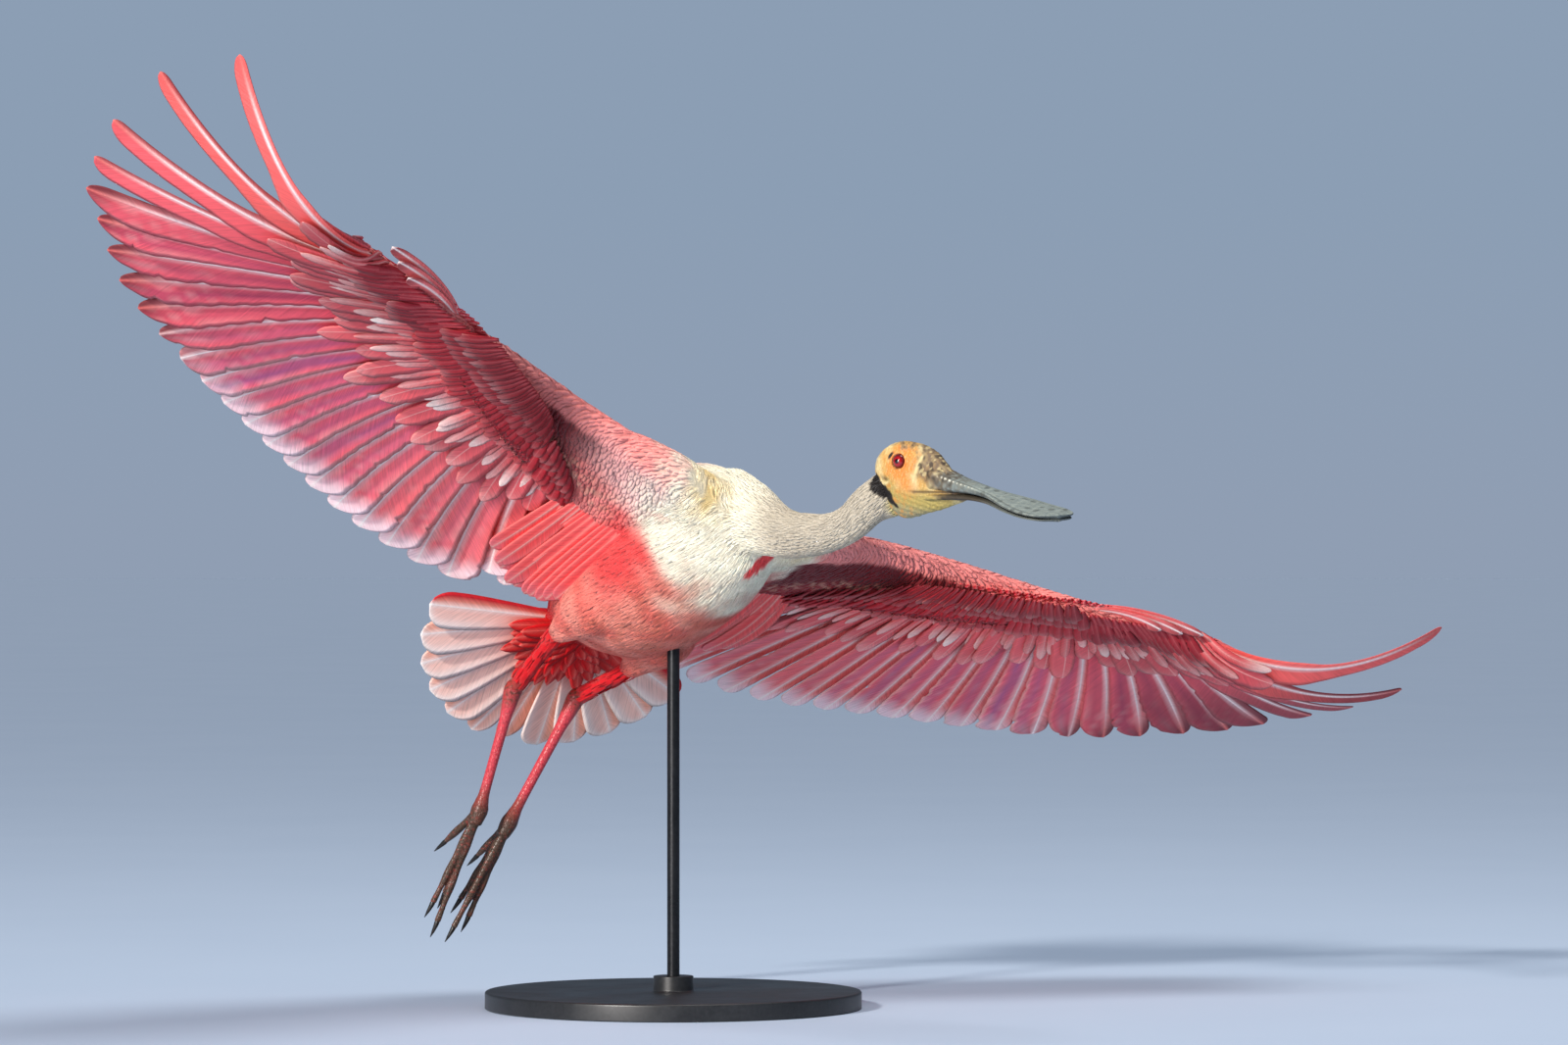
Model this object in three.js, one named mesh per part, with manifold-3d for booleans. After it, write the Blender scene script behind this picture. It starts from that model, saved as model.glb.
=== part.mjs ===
// Roseate spoonbill in flight, life size, on a plain display stand.
// Millimetres, +Z up, origin at the centre of the stand's underside.
// The bird is modelled level in a body frame (x forward, y to its left, z up)
// and then turned as a whole into its banked flight attitude.
import * as THREE from 'three';
import Module from 'manifold-3d';

const wasm = await Module();
wasm.setup();

// Attitude in flight, degrees
const heading = -46;
const noseUp = 22.4;
const bank = -22.1;
const headHeading = -47.3;
const headPitch = -13.4;
const headRoll = 3;

// Stand
const baseRadius = 150;
const baseHeight = 14;
const baseBevel = 2;
const collarRadius = 16;
const collarHeight = 12;
const rodRadius = 5;
const rodSocketDepth = 8;
const rodTopHeight = 322;
const bodyHeight = 354;
const bodyOffset = [-10, 8];

// Clearance between pieces that meet
const gap = 0.3;

// Wing: bone line and tips of the flight feathers of the left wing
const elbow = [68, 178, 20];
const wrist = [138, 302, 17];
const handBase = [147, 316, 17];
const fingertip = [176, 420, 22];
const secondaryCount = 12;
const primaryCount = 10;
const tertialCount = 4;
const featherTips = [
  [-4, [-88, 48, -7]], [-2, [-106, 76, -4]], [-1, [-104, 93, -1]],
  [0, [-134, 112, 2]], [3, [-127, 206, 7]], [6, [-103, 294, 17]], [9, [-71, 380, 24]],
  [12, [-34, 468, 32]], [14, [-7, 525, 43]], [16, [42, 580, 50]], [17, [61, 604, 57]],
  [18, [99, 623, 57]],
  [19, [138, 634, 59]], [20, [196, 634, 62]], [21, [266, 612, 67]],
];
// How much higher the last primaries' tips ride on one wing than on the other, up on the right
const tipFlex = [[0, 0], [18, 0], [19, 6], [20, 16], [21, 0]];
const shingleAngle = 9;
const vaneThickness = 0.8;
// Slivers thinner than this, left where pieces cross, are closed up
const leastEdge = 0.004;

// Tail
const rectrixCount = 12;
const rectrixLength = 126;
const tailSpread = 75;
const tailDroop = 26;
const tailRoll = 3;
const tailCentre = [-104, 0, -8];
const tailCovertCount = 5;

// Head and bill, in the head's own frame (x along the culmen, origin between the eyes)
const headPlace = [293, 10, -30];
const billTip = 166;
const billBase = 21;
const billGape = 0.5;
const eyeRadius = 6.2;
const eyeOut = 9.8;
const lid = { radius: 5.9, thickness: 1.6, out: 12.4, tilt: 27 };
const nostril = { x: 47, y: 4, length: 6, width: 1.6, depth: 2.6 };

// Legs: ankle, toe joint and toe tip of each side
const legs = {
  left: { root: [-62, 36, -44], shin: [-86, 35, -50], ankle: [-143, 30, -52], joint: [-208, 17, -146], tip: [-262, 7, -224] },
  right: { root: [-66, -36, -40], shin: [-90, -35, -42], ankle: [-148, -30, -65], joint: [-204, -16, -148], tip: [-260, -11, -226] },
};
const toeNames = ['outer', 'middle', 'inner', 'hind'];

const colours = {
  stand: 0x16171a, cream: 0xe9dccb, pink: 0xd9616b, rose: 0xcf5560, peach: 0xf0bba8,
  red: 0xa93038, dark: 0x3a2723, claw: 0x17120f, skin: 0xcdb56a, eye: 0x7d0d10, bill: 0x8d9a99,
};

const vec = (point) => new THREE.Vector3(...point);
const mix = (a, b, t) => a + (b - a) * t;
const mixPoint = (a, b, t) => vec(a).lerp(vec(b), t);
const radians = THREE.MathUtils.degToRad;

// Value at t of a smooth curve through [position, value] keys, by Catmull-Rom spans
function through(keys, t) {
  const last = keys.length - 1;
  let k = keys.findIndex((key) => key[0] > t) - 1;
  if (k < 0) k = t < keys[0][0] ? 0 : last - 1;
  const at = (index) => keys[Math.min(Math.max(index, 0), last)];
  const span = at(k + 1)[0] - at(k)[0];
  const u = (t - at(k)[0]) / span;
  const slope = (a, b) => ((at(b)[1] - at(a)[1]) / (at(b)[0] - at(a)[0])) * span;
  const m0 = k > 0 ? slope(k - 1, k + 1) : slope(k, k + 1);
  const m1 = k + 2 <= last ? slope(k, k + 2) : slope(k, k + 1);
  const u2 = u * u;
  const u3 = u2 * u;
  const start = (2 * u3 - 3 * u2 + 1) * at(k)[1] + (u3 - 2 * u2 + u) * m0;
  return start + (3 * u2 - 2 * u3) * at(k + 1)[1] + (u3 - u2) * m1;
}

// The same curve for points
function pointThrough(keys, t) {
  const axis = (i) => through(keys.map(([position, point]) => [position, point[i]]), t);
  return new THREE.Vector3(axis(0), axis(1), axis(2));
}

// Closed mesh as a solid, turned right side out
function solid(points, triangles) {
  let volume = 0;
  for (const [a, b, c] of triangles) {
    volume += points[a].dot(points[b].clone().cross(points[c]));
  }
  const turned = volume < 0 ? triangles.map(([a, b, c]) => [a, c, b]) : triangles;
  const vertProperties = new Float32Array(points.flatMap((p) => [p.x, p.y, p.z]));
  const triVerts = new Uint32Array(turned.flat());
  return new wasm.Manifold(new wasm.Mesh({ numProp: 3, vertProperties, triVerts }));
}

// Skin over a row of rings, closed at both ends by a fan to the ring's middle
function loft(rings, side = 1) {
  const count = rings[0].length;
  const points = rings.flat().map((p) => new THREE.Vector3(p.x, p.y * side, p.z));
  const triangles = [];
  for (let r = 0; r + 1 < rings.length; r++) {
    for (let i = 0; i < count; i++) {
      const j = (i + 1) % count;
      const a = r * count;
      triangles.push([a + i, a + j, a + count + j], [a + i, a + count + j, a + count + i]);
    }
  }
  for (const r of [0, rings.length - 1]) {
    const middle = new THREE.Vector3();
    for (let i = 0; i < count; i++) middle.addScaledVector(points[r * count + i], 1 / count);
    const centre = points.push(middle) - 1;
    for (let i = 0; i < count; i++) {
      const j = (i + 1) % count;
      const fan = [centre, r * count + j, r * count + i];
      triangles.push(r === 0 ? fan : fan.reverse());
    }
  }
  return solid(points, triangles);
}

// Thin sheet between two like grids of points, split alike on both faces
function sheet(upper, lower, side = 1) {
  const rows = upper.length;
  const columns = upper[0].length;
  const points = [...upper.flat(), ...lower.flat()].map((p) => new THREE.Vector3(p.x, p.y * side, p.z));
  const up = (r, c) => r * columns + c;
  const down = (r, c) => rows * columns + up(r, c);
  const triangles = [];
  for (let r = 0; r + 1 < rows; r++) {
    for (let c = 0; c + 1 < columns; c++) {
      triangles.push([up(r, c), up(r, c + 1), up(r + 1, c + 1)], [up(r, c), up(r + 1, c + 1), up(r + 1, c)]);
      triangles.push([down(r, c), down(r + 1, c + 1), down(r, c + 1)], [down(r, c), down(r + 1, c), down(r + 1, c + 1)]);
    }
  }
  const rim = [];
  for (let c = 0; c < columns; c++) rim.push([0, c]);
  for (let r = 1; r < rows; r++) rim.push([r, columns - 1]);
  for (let c = columns - 2; c >= 0; c--) rim.push([rows - 1, c]);
  for (let r = rows - 2; r > 0; r--) rim.push([r, 0]);
  rim.forEach(([r, c], i) => {
    const [s, d] = rim[(i + 1) % rim.length];
    triangles.push([up(r, c), down(r, c), up(s, d)], [up(s, d), down(r, c), down(s, d)]);
  });
  return solid(points, triangles);
}

// Round or oval tube along points, [point, half width, half height] at each
function tube(stations, sides, side = 1) {
  const centres = stations.map(([point]) => (point.isVector3 ? point : vec(point)));
  const rings = stations.map(([, wide, high], k) => {
    const ahead = centres[Math.min(k + 1, centres.length - 1)];
    const along = ahead.clone().sub(centres[Math.max(k - 1, 0)]).normalize();
    const across = new THREE.Vector3(-along.y, along.x, 0);
    if (across.length() < 0.05) across.set(0, 1, 0);
    across.normalize();
    const upward = along.clone().cross(across).normalize();
    return Array.from({ length: sides }, (_, i) => {
      const angle = (2 * Math.PI * i) / sides;
      return centres[k].clone()
        .addScaledVector(across, wide * Math.cos(angle))
        .addScaledVector(upward, (high ?? wide) * Math.sin(angle));
    });
  });
  return loft(rings, side);
}

const unite = (pieces) => pieces.reduce((all, piece) => all.add(piece));

// The outer surface alone, without scraps, sealed hollows or slivers
function whole(manifold) {
  const pieces = manifold.simplify(leastEdge).decompose();
  return pieces.reduce((best, piece) => (piece.volume() > best.volume() ? piece : best));
}

// Named mesh with flat faces from a finished solid
function node(name, manifold, colour, roughness, metalness = 0) {
  const mesh = whole(manifold).getMesh();
  const geometry = new THREE.BufferGeometry();
  const position = new Float32Array(mesh.numVert * 3);
  for (let v = 0; v < mesh.numVert; v++) {
    for (let i = 0; i < 3; i++) position[v * 3 + i] = mesh.vertProperties[v * mesh.numProp + i];
  }
  geometry.setAttribute('position', new THREE.BufferAttribute(position, 3));
  geometry.setIndex([...mesh.triVerts]);
  geometry.computeVertexNormals();
  const piece = new THREE.Mesh(geometry, new THREE.MeshStandardMaterial({ color: colour, roughness, metalness }));
  piece.name = name;
  return piece;
}

// Torso: oval rings along the body, [x, half width, top, bottom]
function torsoBody(grow = 0) {
  const stations = [
    [-124, 12, 0, -14], [-112, 30, 14, -26], [-88, 46, 30, -44], [-55, 58, 44, -62], [-15, 65, 54, -72],
    [30, 66, 62, -71], [62, 62, 63, -66], [84, 54, 53, -57], [102, 41, 34, -48], [116, 16, 8, -26],
  ];
  const sides = 24;
  const ends = [0, stations.length - 1];
  const rings = stations.map(([x, wide, top, bottom], k) => {
    const end = ends.indexOf(k);
    const away = end < 0 ? 0 : end * 2 - 1;
    return Array.from({ length: sides }, (_, i) => {
      const angle = (2 * Math.PI * i) / sides;
      const high = (top - bottom) / 2 + grow;
      return new THREE.Vector3(
        x + away * grow,
        (wide + grow) * Math.cos(angle),
        (top + bottom) / 2 + high * Math.sin(angle),
      );
    });
  });
  return loft(rings);
}

// Feathered thigh bulging from the flank, ending where the bare shank leaves it
function thigh(side, grow = 0) {
  const { root, shin } = legs[side > 0 ? 'left' : 'right'];
  const hip = [-8, 34 * side, -34];
  return tube([
    [hip, 10 + grow], [mixPoint(hip, root, 0.3), 25 + grow, 27 + grow], [mixPoint(hip, root, 0.7), 24 + grow, 25 + grow],
    [root, 18 + grow, 18 + grow], [mixPoint(root, shin, 1), 9 + grow, 9 + grow],
  ], 14);
}

// Body cut out of its neighbours, a clearance larger than the body itself
const torsoCut = unite([torsoBody(gap), thigh(1, gap), thigh(-1, gap)]);

// Straight round rod along world Z, in the body frame
function rod(radius, bottom, top) {
  const attitude = bodyQuaternion().invert();
  const place = (z) => new THREE.Vector3(-bodyOffset[0], -bodyOffset[1], z - bodyHeight).applyQuaternion(attitude);
  const ring = (z) => Array.from({ length: 24 }, (_, i) => {
    const angle = (2 * Math.PI * i) / 24;
    const out = new THREE.Vector3(radius * Math.cos(angle), radius * Math.sin(angle), 0).applyQuaternion(attitude);
    return place(z).add(out);
  });
  return loft([ring(bottom), ring(top)]);
}

function bodyQuaternion() {
  const turn = new THREE.Euler(radians(bank), radians(-noseUp), radians(heading), 'ZYX');
  return new THREE.Quaternion().setFromEuler(turn);
}

function headQuaternion() {
  const turn = new THREE.Euler(radians(headRoll), radians(-headPitch), radians(headHeading), 'ZYX');
  return bodyQuaternion().invert().multiply(new THREE.Quaternion().setFromEuler(turn));
}

const headMatrix = new THREE.Matrix4().compose(vec(headPlace), headQuaternion(), new THREE.Vector3(1, 1, 1));

// Point of the head's frame in the body frame
const fromHead = (point) => vec(point).applyMatrix4(headMatrix);

function torso() {
  const body = unite([torsoBody(), thigh(1), thigh(-1)]);
  return body.subtract(rod(rodRadius + gap, bodyHeight - 140, rodTopHeight + gap));
}

// Neck: an S held out in front, [point, radius]
const neckStations = [
  [[84, 0, 4], 44], [[106, 0.5, -5.5], 32.5], [[132, 1.5, -24.5], 24], [[156, 3, -41.5], 20], [[178, 4, -51], 18.6],
  [[196, 5, -57.6], 17], [[216, 6.5, -61], 15.9], [[231, 7.7, -59], 15.9], [[245, 9.6, -51.5], 16.8],
];

function neckTube(grow = 0) {
  const stations = neckStations.map(([point, radius]) => [point, radius + grow]);
  stations.push([fromHead([-16, 0, -26]), 16 + grow], [fromHead([-6, 0, -16]), 13 + grow]);
  return tube(stations, 18);
}

// Head: egg rings along the culmen's line, [x, half width, top, bottom]
const headStations = [
  [-33, 4, -8, -16], [-28, 10, -1, -26], [-20, 14.5, 6, -36], [-10, 16.6, 10.4, -42], [2, 16.8, 12.2, -44],
  [13, 15.6, 12.6, -42], [25, 13.2, 10.4, -38.5], [38, 9.4, 4, -33], [50, 7, -6, -27], [62, 4.6, -12.6, -20.8],
  [67, 2.4, -14.6, -18],
];

function headBody(grow = 0) {
  const sides = 20;
  return loft(headStations.map(([x, wide, top, bottom], k) => {
    const away = k === 0 ? -grow : k === headStations.length - 1 ? grow : 0;
    return Array.from({ length: sides }, (_, i) => {
      const angle = (2 * Math.PI * i) / sides;
      const rise = Math.sin(angle);
      const lean = 1 - 0.18 * (1 - rise) * 0.5;
      const z = (top + bottom) / 2 + ((top - bottom) / 2 + grow) * rise;
      return new THREE.Vector3(x + away, (wide * lean + grow) * Math.cos(angle), z);
    });
  }));
}

// Half width of the bill along its length
const billWidths = [
  [14, 13.4], [30, 12.6], [50, 11.2], [75, 10.4], [95, 12], [110, 16.8], [124, 21.8], [138, 25], [149, 25.8],
  [158, 22.5], [163, 16.5], [166, 5],
];

// Height of the ridge, of the cutting edge below it and of the lower half's underside along the bill
const billCrown = [[21, 0.2], [38, 0.2], [60, -2.4], [95, -4], [115, -4.8], [135, -6], [166, -6]];
const billEdge = [[21, -22.5], [45, -17], [75, -11.5], [100, -9.6], [130, -9.4], [166, -8.8]];
const billSole = [[21, -30], [45, -23.5], [75, -16.4], [100, -13.6], [130, -12.6], [166, -11.4]];

// Bill half: [x, half width, top, bottom] rings with a flattened crown
function billHalf(lower, grow = 0) {
  const stations = [billBase, 34, 50, 66, 82, 97, 110, 123, 136, 147, 156, 161.5, 164.5, billTip];
  const sides = 12;
  return loft(stations.map((x, k) => {
    const end = k === stations.length - 1 ? 1 : 0;
    const back = k === 0 ? 1 : 0;
    const wide = through(billWidths, x) * (lower ? 0.94 : 1);
    const crown = through(lower ? billEdge : billCrown, x) - (lower ? billGape : 0);
    const sole = through(lower ? billSole : billEdge, x);
    const middle = (crown + sole) / 2;
    return Array.from({ length: sides }, (_, i) => {
      const angle = (2 * Math.PI * i) / sides;
      const flat = Math.abs(Math.sin(angle)) ** 0.6 * Math.sign(Math.sin(angle));
      return new THREE.Vector3(
        x + (end - back) * grow,
        (wide + grow) * Math.cos(angle),
        middle + ((crown - sole) / 2 + grow) * flat,
      );
    });
  }));
}

const ball = (centre, radius, grow = 0) => {
  const rings = 8;
  return loft(Array.from({ length: rings + 1 }, (_, r) => {
    const polar = mix(0.06, Math.PI - 0.06, r / rings);
    return Array.from({ length: 12 }, (_, i) => {
      const angle = (2 * Math.PI * i) / 12;
      const out = radius + grow;
      return new THREE.Vector3(
        centre[0] + out * Math.sin(polar) * Math.cos(angle),
        centre[1] + out * Math.cos(polar),
        centre[2] + out * Math.sin(polar) * Math.sin(angle),
      );
    });
  }));
};

// Eyelids: a ring of skin round the eye, leaning in towards the crown
function eyelid(side) {
  const across = 6;
  const around = 14;
  const ring = new THREE.TorusGeometry(lid.radius, lid.thickness, across, around);
  ring.rotateX(Math.PI / 2 + side * radians(lid.tilt));
  ring.translate(0, side * lid.out, 0);
  const position = ring.attributes.position;
  const points = [];
  const triangles = [];
  for (let a = 0; a < across; a++) {
    for (let b = 0; b < around; b++) points.push(new THREE.Vector3().fromBufferAttribute(position, a * (around + 1) + b));
  }
  for (let a = 0; a < across; a++) {
    for (let b = 0; b < around; b++) {
      const next = (a + 1) % across;
      const turn = (b + 1) % around;
      const corner = [a * around + b, next * around + b, next * around + turn, a * around + turn];
      triangles.push([corner[0], corner[1], corner[2]], [corner[0], corner[2], corner[3]]);
    }
  }
  return solid(points, triangles);
}

function head() {
  const skull = unite([headBody(), eyelid(1), eyelid(-1)]);
  const sockets = unite([ball([0, eyeOut, 0], eyeRadius, gap), ball([0, -eyeOut, 0], eyeRadius, gap)]);
  return skull.subtract(sockets).subtract(billHalf(false, gap)).subtract(billHalf(true, gap));
}

// Upper bill with a slit nostril on either side of its ridge
function billUpper() {
  const { x, y, length, width, depth } = nostril;
  const corners = 6;
  const slit = (side) => loft([-depth, depth].map((z) => Array.from({ length: corners }, (_, i) => {
    const angle = (2 * Math.PI * i) / corners;
    return new THREE.Vector3(x + (length / 2) * Math.cos(angle), side * (y + (width / 2) * Math.sin(angle)), z);
  })));
  return billHalf(false).subtract(slit(1)).subtract(slit(-1));
}

// Root of a flight feather on the bones; tertials carry on up the humerus
function featherRoot(i) {
  const lastSecondary = secondaryCount - 1;
  if (i < 0) return mixPoint(elbow, [8, 88, 10], -i / 5);
  if (i <= lastSecondary) return mixPoint(elbow, wrist, i / lastSecondary);
  if (i < secondaryCount) return mixPoint(wrist, handBase, i - lastSecondary);
  return mixPoint(handBase, fingertip, (i - secondaryCount) / (primaryCount - 1));
}

// How far the middle of a feather's shaft stands above its chord
const shaftLift = [[-4, 6], [10, 7], [14, 2], [17, -8], [19, -18], [21, -31]];
const shaftSwing = [[-4, 4], [6, 9], [12, 7], [17, 3], [21, -8]];

// Point of a wing's surface, i across the feathers and u along the shaft
function shaft(i, u, side) {
  const root = featherRoot(i);
  const tip = pointThrough(featherTips, i);
  tip.z -= side * through(tipFlex, Math.max(i, 0));
  const forward = new THREE.Vector3(tip.y - root.y, root.x - tip.x, 0).normalize();
  const bow = 4 * u * (1 - u);
  const point = root.lerp(tip, u).addScaledVector(forward, bow * through(shaftSwing, i));
  point.z += bow * through(shaftLift, i);
  return point;
}

// Directions at a feather: along its shaft, towards the leading edge, and upward
function featherFrame(i, u, side, tilt) {
  const step = 0.02;
  const low = Math.max(i - 0.5, -tertialCount);
  const high = Math.min(i + 0.5, secondaryCount + primaryCount - 1);
  const along = shaft(i, Math.min(u + step, 1), side).sub(shaft(i, Math.max(u - step, 0), side)).normalize();
  const across = shaft(high, u, side).sub(shaft(low, u, side));
  across.addScaledVector(along, -across.dot(along)).normalize();
  const upward = across.clone().cross(along);
  const lean = radians(tilt);
  const lead = across.clone().multiplyScalar(Math.cos(lean)).addScaledVector(upward, Math.sin(lean));
  const normal = upward.multiplyScalar(Math.cos(lean)).addScaledVector(across, -Math.sin(lean));
  return { lead, normal };
}

// One vane of the wing: outer and inner web either side of the shaft
function wingVane(i, side, { from = 0, to = 1, outer, inner, rootOffset = 0, offset = 0, widths }) {
  const upper = [];
  const lower = [];
  for (const [t, factor] of widths) {
    const u = mix(from, to, t);
    const { lead, normal } = featherFrame(i, u, side, shingleAngle);
    const centre = shaft(i, u, side).addScaledVector(normal, mix(rootOffset, offset, Math.min(2.2 * t, 1)));
    const edge = (reach) => centre.clone().addScaledVector(lead, reach * factor);
    const row = [edge(outer), edge(-inner)];
    upper.push(row.map((p) => p.clone().addScaledVector(normal, vaneThickness / 2)));
    lower.push(row.map((p) => p.clone().addScaledVector(normal, -vaneThickness / 2)));
  }
  return sheet(upper, lower, side);
}

// Width of a vane along its length: [place, factor]
const roundTip = [[0, 0.3], [0.35, 0.9], [0.75, 1], [0.93, 0.8], [1, 0.3]];
const slottedTip = [[0, 0.3], [0.25, 0.8], [0.5, 1], [0.66, 0.6], [0.86, 0.4], [1, 0.1]];
const covertTip = [[0, 0.35], [0.35, 0.85], [0.75, 1], [0.93, 0.75], [1, 0.3]];

// Arm and hand of the wing: aerofoil rings, [front, rear, thickness]
const armStations = [
  [[120, 36, -4], [-62, 36, 8], 42], [[126, 75, 4], [-44, 70, 6], 34], [[114, 110, 19], [-12, 104, 8], 27],
  [[106, 150, 34], [20, 142, 9], 23], [[110, 190, 39], [36, 178, 9], 20], [[124, 235, 36], [60, 223, 9], 18],
  [[138, 280, 32], [86, 266, 9], 16.5], [[154, 312, 25], [112, 302, 10], 16], [[164, 345, 22], [128, 343, 11], 15],
  [[173, 385, 23], [144, 385, 14], 14], [[181, 420, 25], [158, 422, 17], 12], [[184, 437, 26], [172, 439, 21], 5],
];

function armBody(side) {
  const sides = 14;
  return loft(armStations.map(([front, rear, thickness]) => {
    const chord = vec(rear).sub(vec(front));
    const upward = new THREE.Vector3(0, 0, 1);
    upward.addScaledVector(chord, -upward.dot(chord) / chord.lengthSq()).normalize();
    return Array.from({ length: sides }, (_, i) => {
      const angle = (2 * Math.PI * i) / sides;
      const high = (thickness / 2) * Math.sin(angle) * (1 + 0.4 * Math.cos(angle));
      return vec(front).addScaledVector(chord, 0.5 - 0.5 * Math.cos(angle)).addScaledVector(upward, high);
    });
  }), side);
}

// Alula: short stiff feathers on the thumb, along the leading edge
function alula(side) {
  const base = [158, 326, 22];
  return [[194, 414, 17], [186, 398, 15], [178, 380, 13]].map((tip, k) => {
    const start = vec(base).add(new THREE.Vector3(-3 * k, -2 * k, -1.6 * k));
    const along = vec(tip).sub(start).normalize();
    const across = new THREE.Vector3(0, 0, 1).cross(along).normalize();
    const upper = [];
    const lower = [];
    for (const [t, factor] of roundTip) {
      const centre = start.clone().lerp(vec(tip), t);
      const row = [8, -8].map((reach) => centre.clone().addScaledVector(across, reach * factor));
      upper.push(row.map((p) => p.clone().setZ(p.z + 0.4)));
      lower.push(row.map((p) => p.clone().setZ(p.z - 0.4)));
    }
    return sheet(upper, lower, side);
  });
}

function wing(side) {
  const pieces = [armBody(side)];
  const first = -tertialCount;
  const end = secondaryCount + primaryCount;
  for (let i = first; i < end; i++) {
    const slotted = i >= end - 4;
    const tertial = i < 0;
    pieces.push(wingVane(i, side, {
      outer: slotted ? 8 : 11, inner: tertial ? 13 : slotted ? 19 : 23,
      widths: slotted ? slottedTip : roundTip,
    }));
  }
  for (let i = 0.5; i < end; i += 2) {
    const hand = i >= secondaryCount;
    pieces.push(wingVane(i, side, {
      from: 0.02, to: hand ? 0.37 : 0.44, outer: 14, inner: 22, rootOffset: -3.6, offset: -7.6, widths: covertTip,
    }));
    pieces.push(wingVane(i, side, {
      from: 0.02, to: hand ? 0.42 : 0.5, outer: 14, inner: 22, rootOffset: 3.2, offset: 6.8, widths: covertTip,
    }));
  }
  pieces.push(...alula(side));
  return unite(pieces).subtract(torsoCut).subtract(neckTube(gap));
}

// Tail fan: rectrices spread from one centre, outer edges raised
function rectrix(k) {
  const middle = (rectrixCount - 1) / 2;
  const turn = radians((tailSpread * (k - middle)) / middle);
  const outward = Math.sign(k - middle);
  return { turn, outward };
}

function tailVane(turn, outward, { from, to, outer, inner, offset = 0, lift = 0, widths }) {
  const back = new THREE.Vector3(-Math.cos(radians(tailDroop)), 0, -Math.sin(radians(tailDroop)));
  const sideways = new THREE.Vector3(0, Math.cos(radians(tailRoll)), Math.sin(radians(tailRoll)));
  const upward = back.clone().cross(sideways).normalize();
  if (upward.z < 0) upward.negate();
  const along = back.clone().multiplyScalar(Math.cos(turn)).addScaledVector(sideways, Math.sin(turn));
  const across = upward.clone().cross(along).normalize();
  if (across.y * outward < 0) across.negate();
  const lean = radians(shingleAngle);
  const lead = across.clone().multiplyScalar(Math.cos(lean)).addScaledVector(upward, Math.sin(lean));
  const normal = upward.clone().multiplyScalar(Math.cos(lean)).addScaledVector(across, -Math.sin(lean));
  const upper = [];
  const lower = [];
  for (const [t, factor] of widths) {
    const centre = vec(tailCentre).addScaledVector(along, mix(from, to, t)).addScaledVector(normal, offset);
    centre.addScaledVector(upward, lift);
    const row = [outer, -inner].map((reach) => centre.clone().addScaledVector(lead, reach * factor));
    upper.push(row.map((p) => p.clone().addScaledVector(normal, vaneThickness / 2)));
    lower.push(row.map((p) => p.clone().addScaledVector(normal, -vaneThickness / 2)));
  }
  return sheet(upper, lower);
}

function tail() {
  const rump = tube([
    [[-88, 0, -6], 26, 16], [[-108, 0, -11], 33, 15], [[-124, 0, -19], 33, 11], [[-136, 0, -25], 26, 8], [[-144, 0, -29], 12, 4],
  ], 18);
  const pieces = [rump];
  const tailTip = [[0, 0.3], [0.3, 0.7], [0.7, 1], [0.9, 0.92], [1, 0.45]];
  for (let k = 0; k < rectrixCount; k++) {
    const { turn, outward } = rectrix(k);
    const central = Math.abs(turn) < 0.2;
    const lift = central && outward > 0 ? 4 : 0;
    pieces.push(tailVane(turn, outward, {
      from: 8, to: rectrixLength + 6, outer: 14, inner: central ? 12 : 22, lift, widths: tailTip,
    }));
  }
  for (let k = 0; k < tailCovertCount; k++) {
    const middle = (tailCovertCount - 1) / 2;
    const turn = radians((tailSpread * 0.9 * (k - middle)) / middle);
    const outward = k < middle ? -1 : 1;
    const inner = k === middle ? 16 : 22;
    pieces.push(tailVane(turn, outward, { from: 12, to: 66, outer: 16, inner, offset: -8, widths: covertTip }));
    pieces.push(tailVane(turn, outward, { from: 12, to: 58, outer: 16, inner, offset: 8, lift: 1, widths: covertTip }));
  }
  return unite(pieces).subtract(torsoCut);
}

// Bare shank, from the thigh's feathers down to just above the ankle
function shank(name) {
  const { root, shin, ankle } = legs[name];
  const end = mixPoint(shin, ankle, 0.86);
  return tube([[root, 6.5], [shin, 6], [mixPoint(shin, ankle, 0.5), 5], [end, 6.2]], 12).subtract(torsoCut);
}

// Scaled tarsus with its knobbly ankle
function tarsus(name) {
  const { shin, ankle, joint } = legs[name];
  const start = mixPoint(shin, ankle, 0.86).addScaledVector(mixPoint(ankle, shin, 0).sub(vec(shin)).normalize(), gap);
  return tube([
    [start, 6.2], [ankle, 8], [mixPoint(ankle, joint, 0.12), 6.6], [mixPoint(ankle, joint, 0.3), 4.6],
    [mixPoint(ankle, joint, 0.8), 4.4], [mixPoint(ankle, joint, 0.93), 6],
  ], 12);
}

// Toe directions and sizes in the foot: [sideways, back, length] of each tip
const toeTips = { outer: [9, 2, 0.86], middle: [0, 0, 1], inner: [-2, 8, 0.76], hind: [4, 26, 0.36] };

function toePath(name, toe) {
  const { joint, tip } = legs[name];
  const side = name === 'left' ? 1 : -1;
  const along = vec(tip).sub(vec(joint));
  const across = new THREE.Vector3(0, side, 0);
  across.addScaledVector(along, -across.dot(along) / along.lengthSq()).normalize();
  const behind = along.clone().cross(across).normalize();
  if (behind.x > 0) behind.negate();
  const [sideways, back, reach] = toeTips[toe];
  const end = vec(joint).addScaledVector(along, reach).addScaledVector(across, sideways).addScaledVector(behind, back);
  return { start: vec(joint), end };
}

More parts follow.
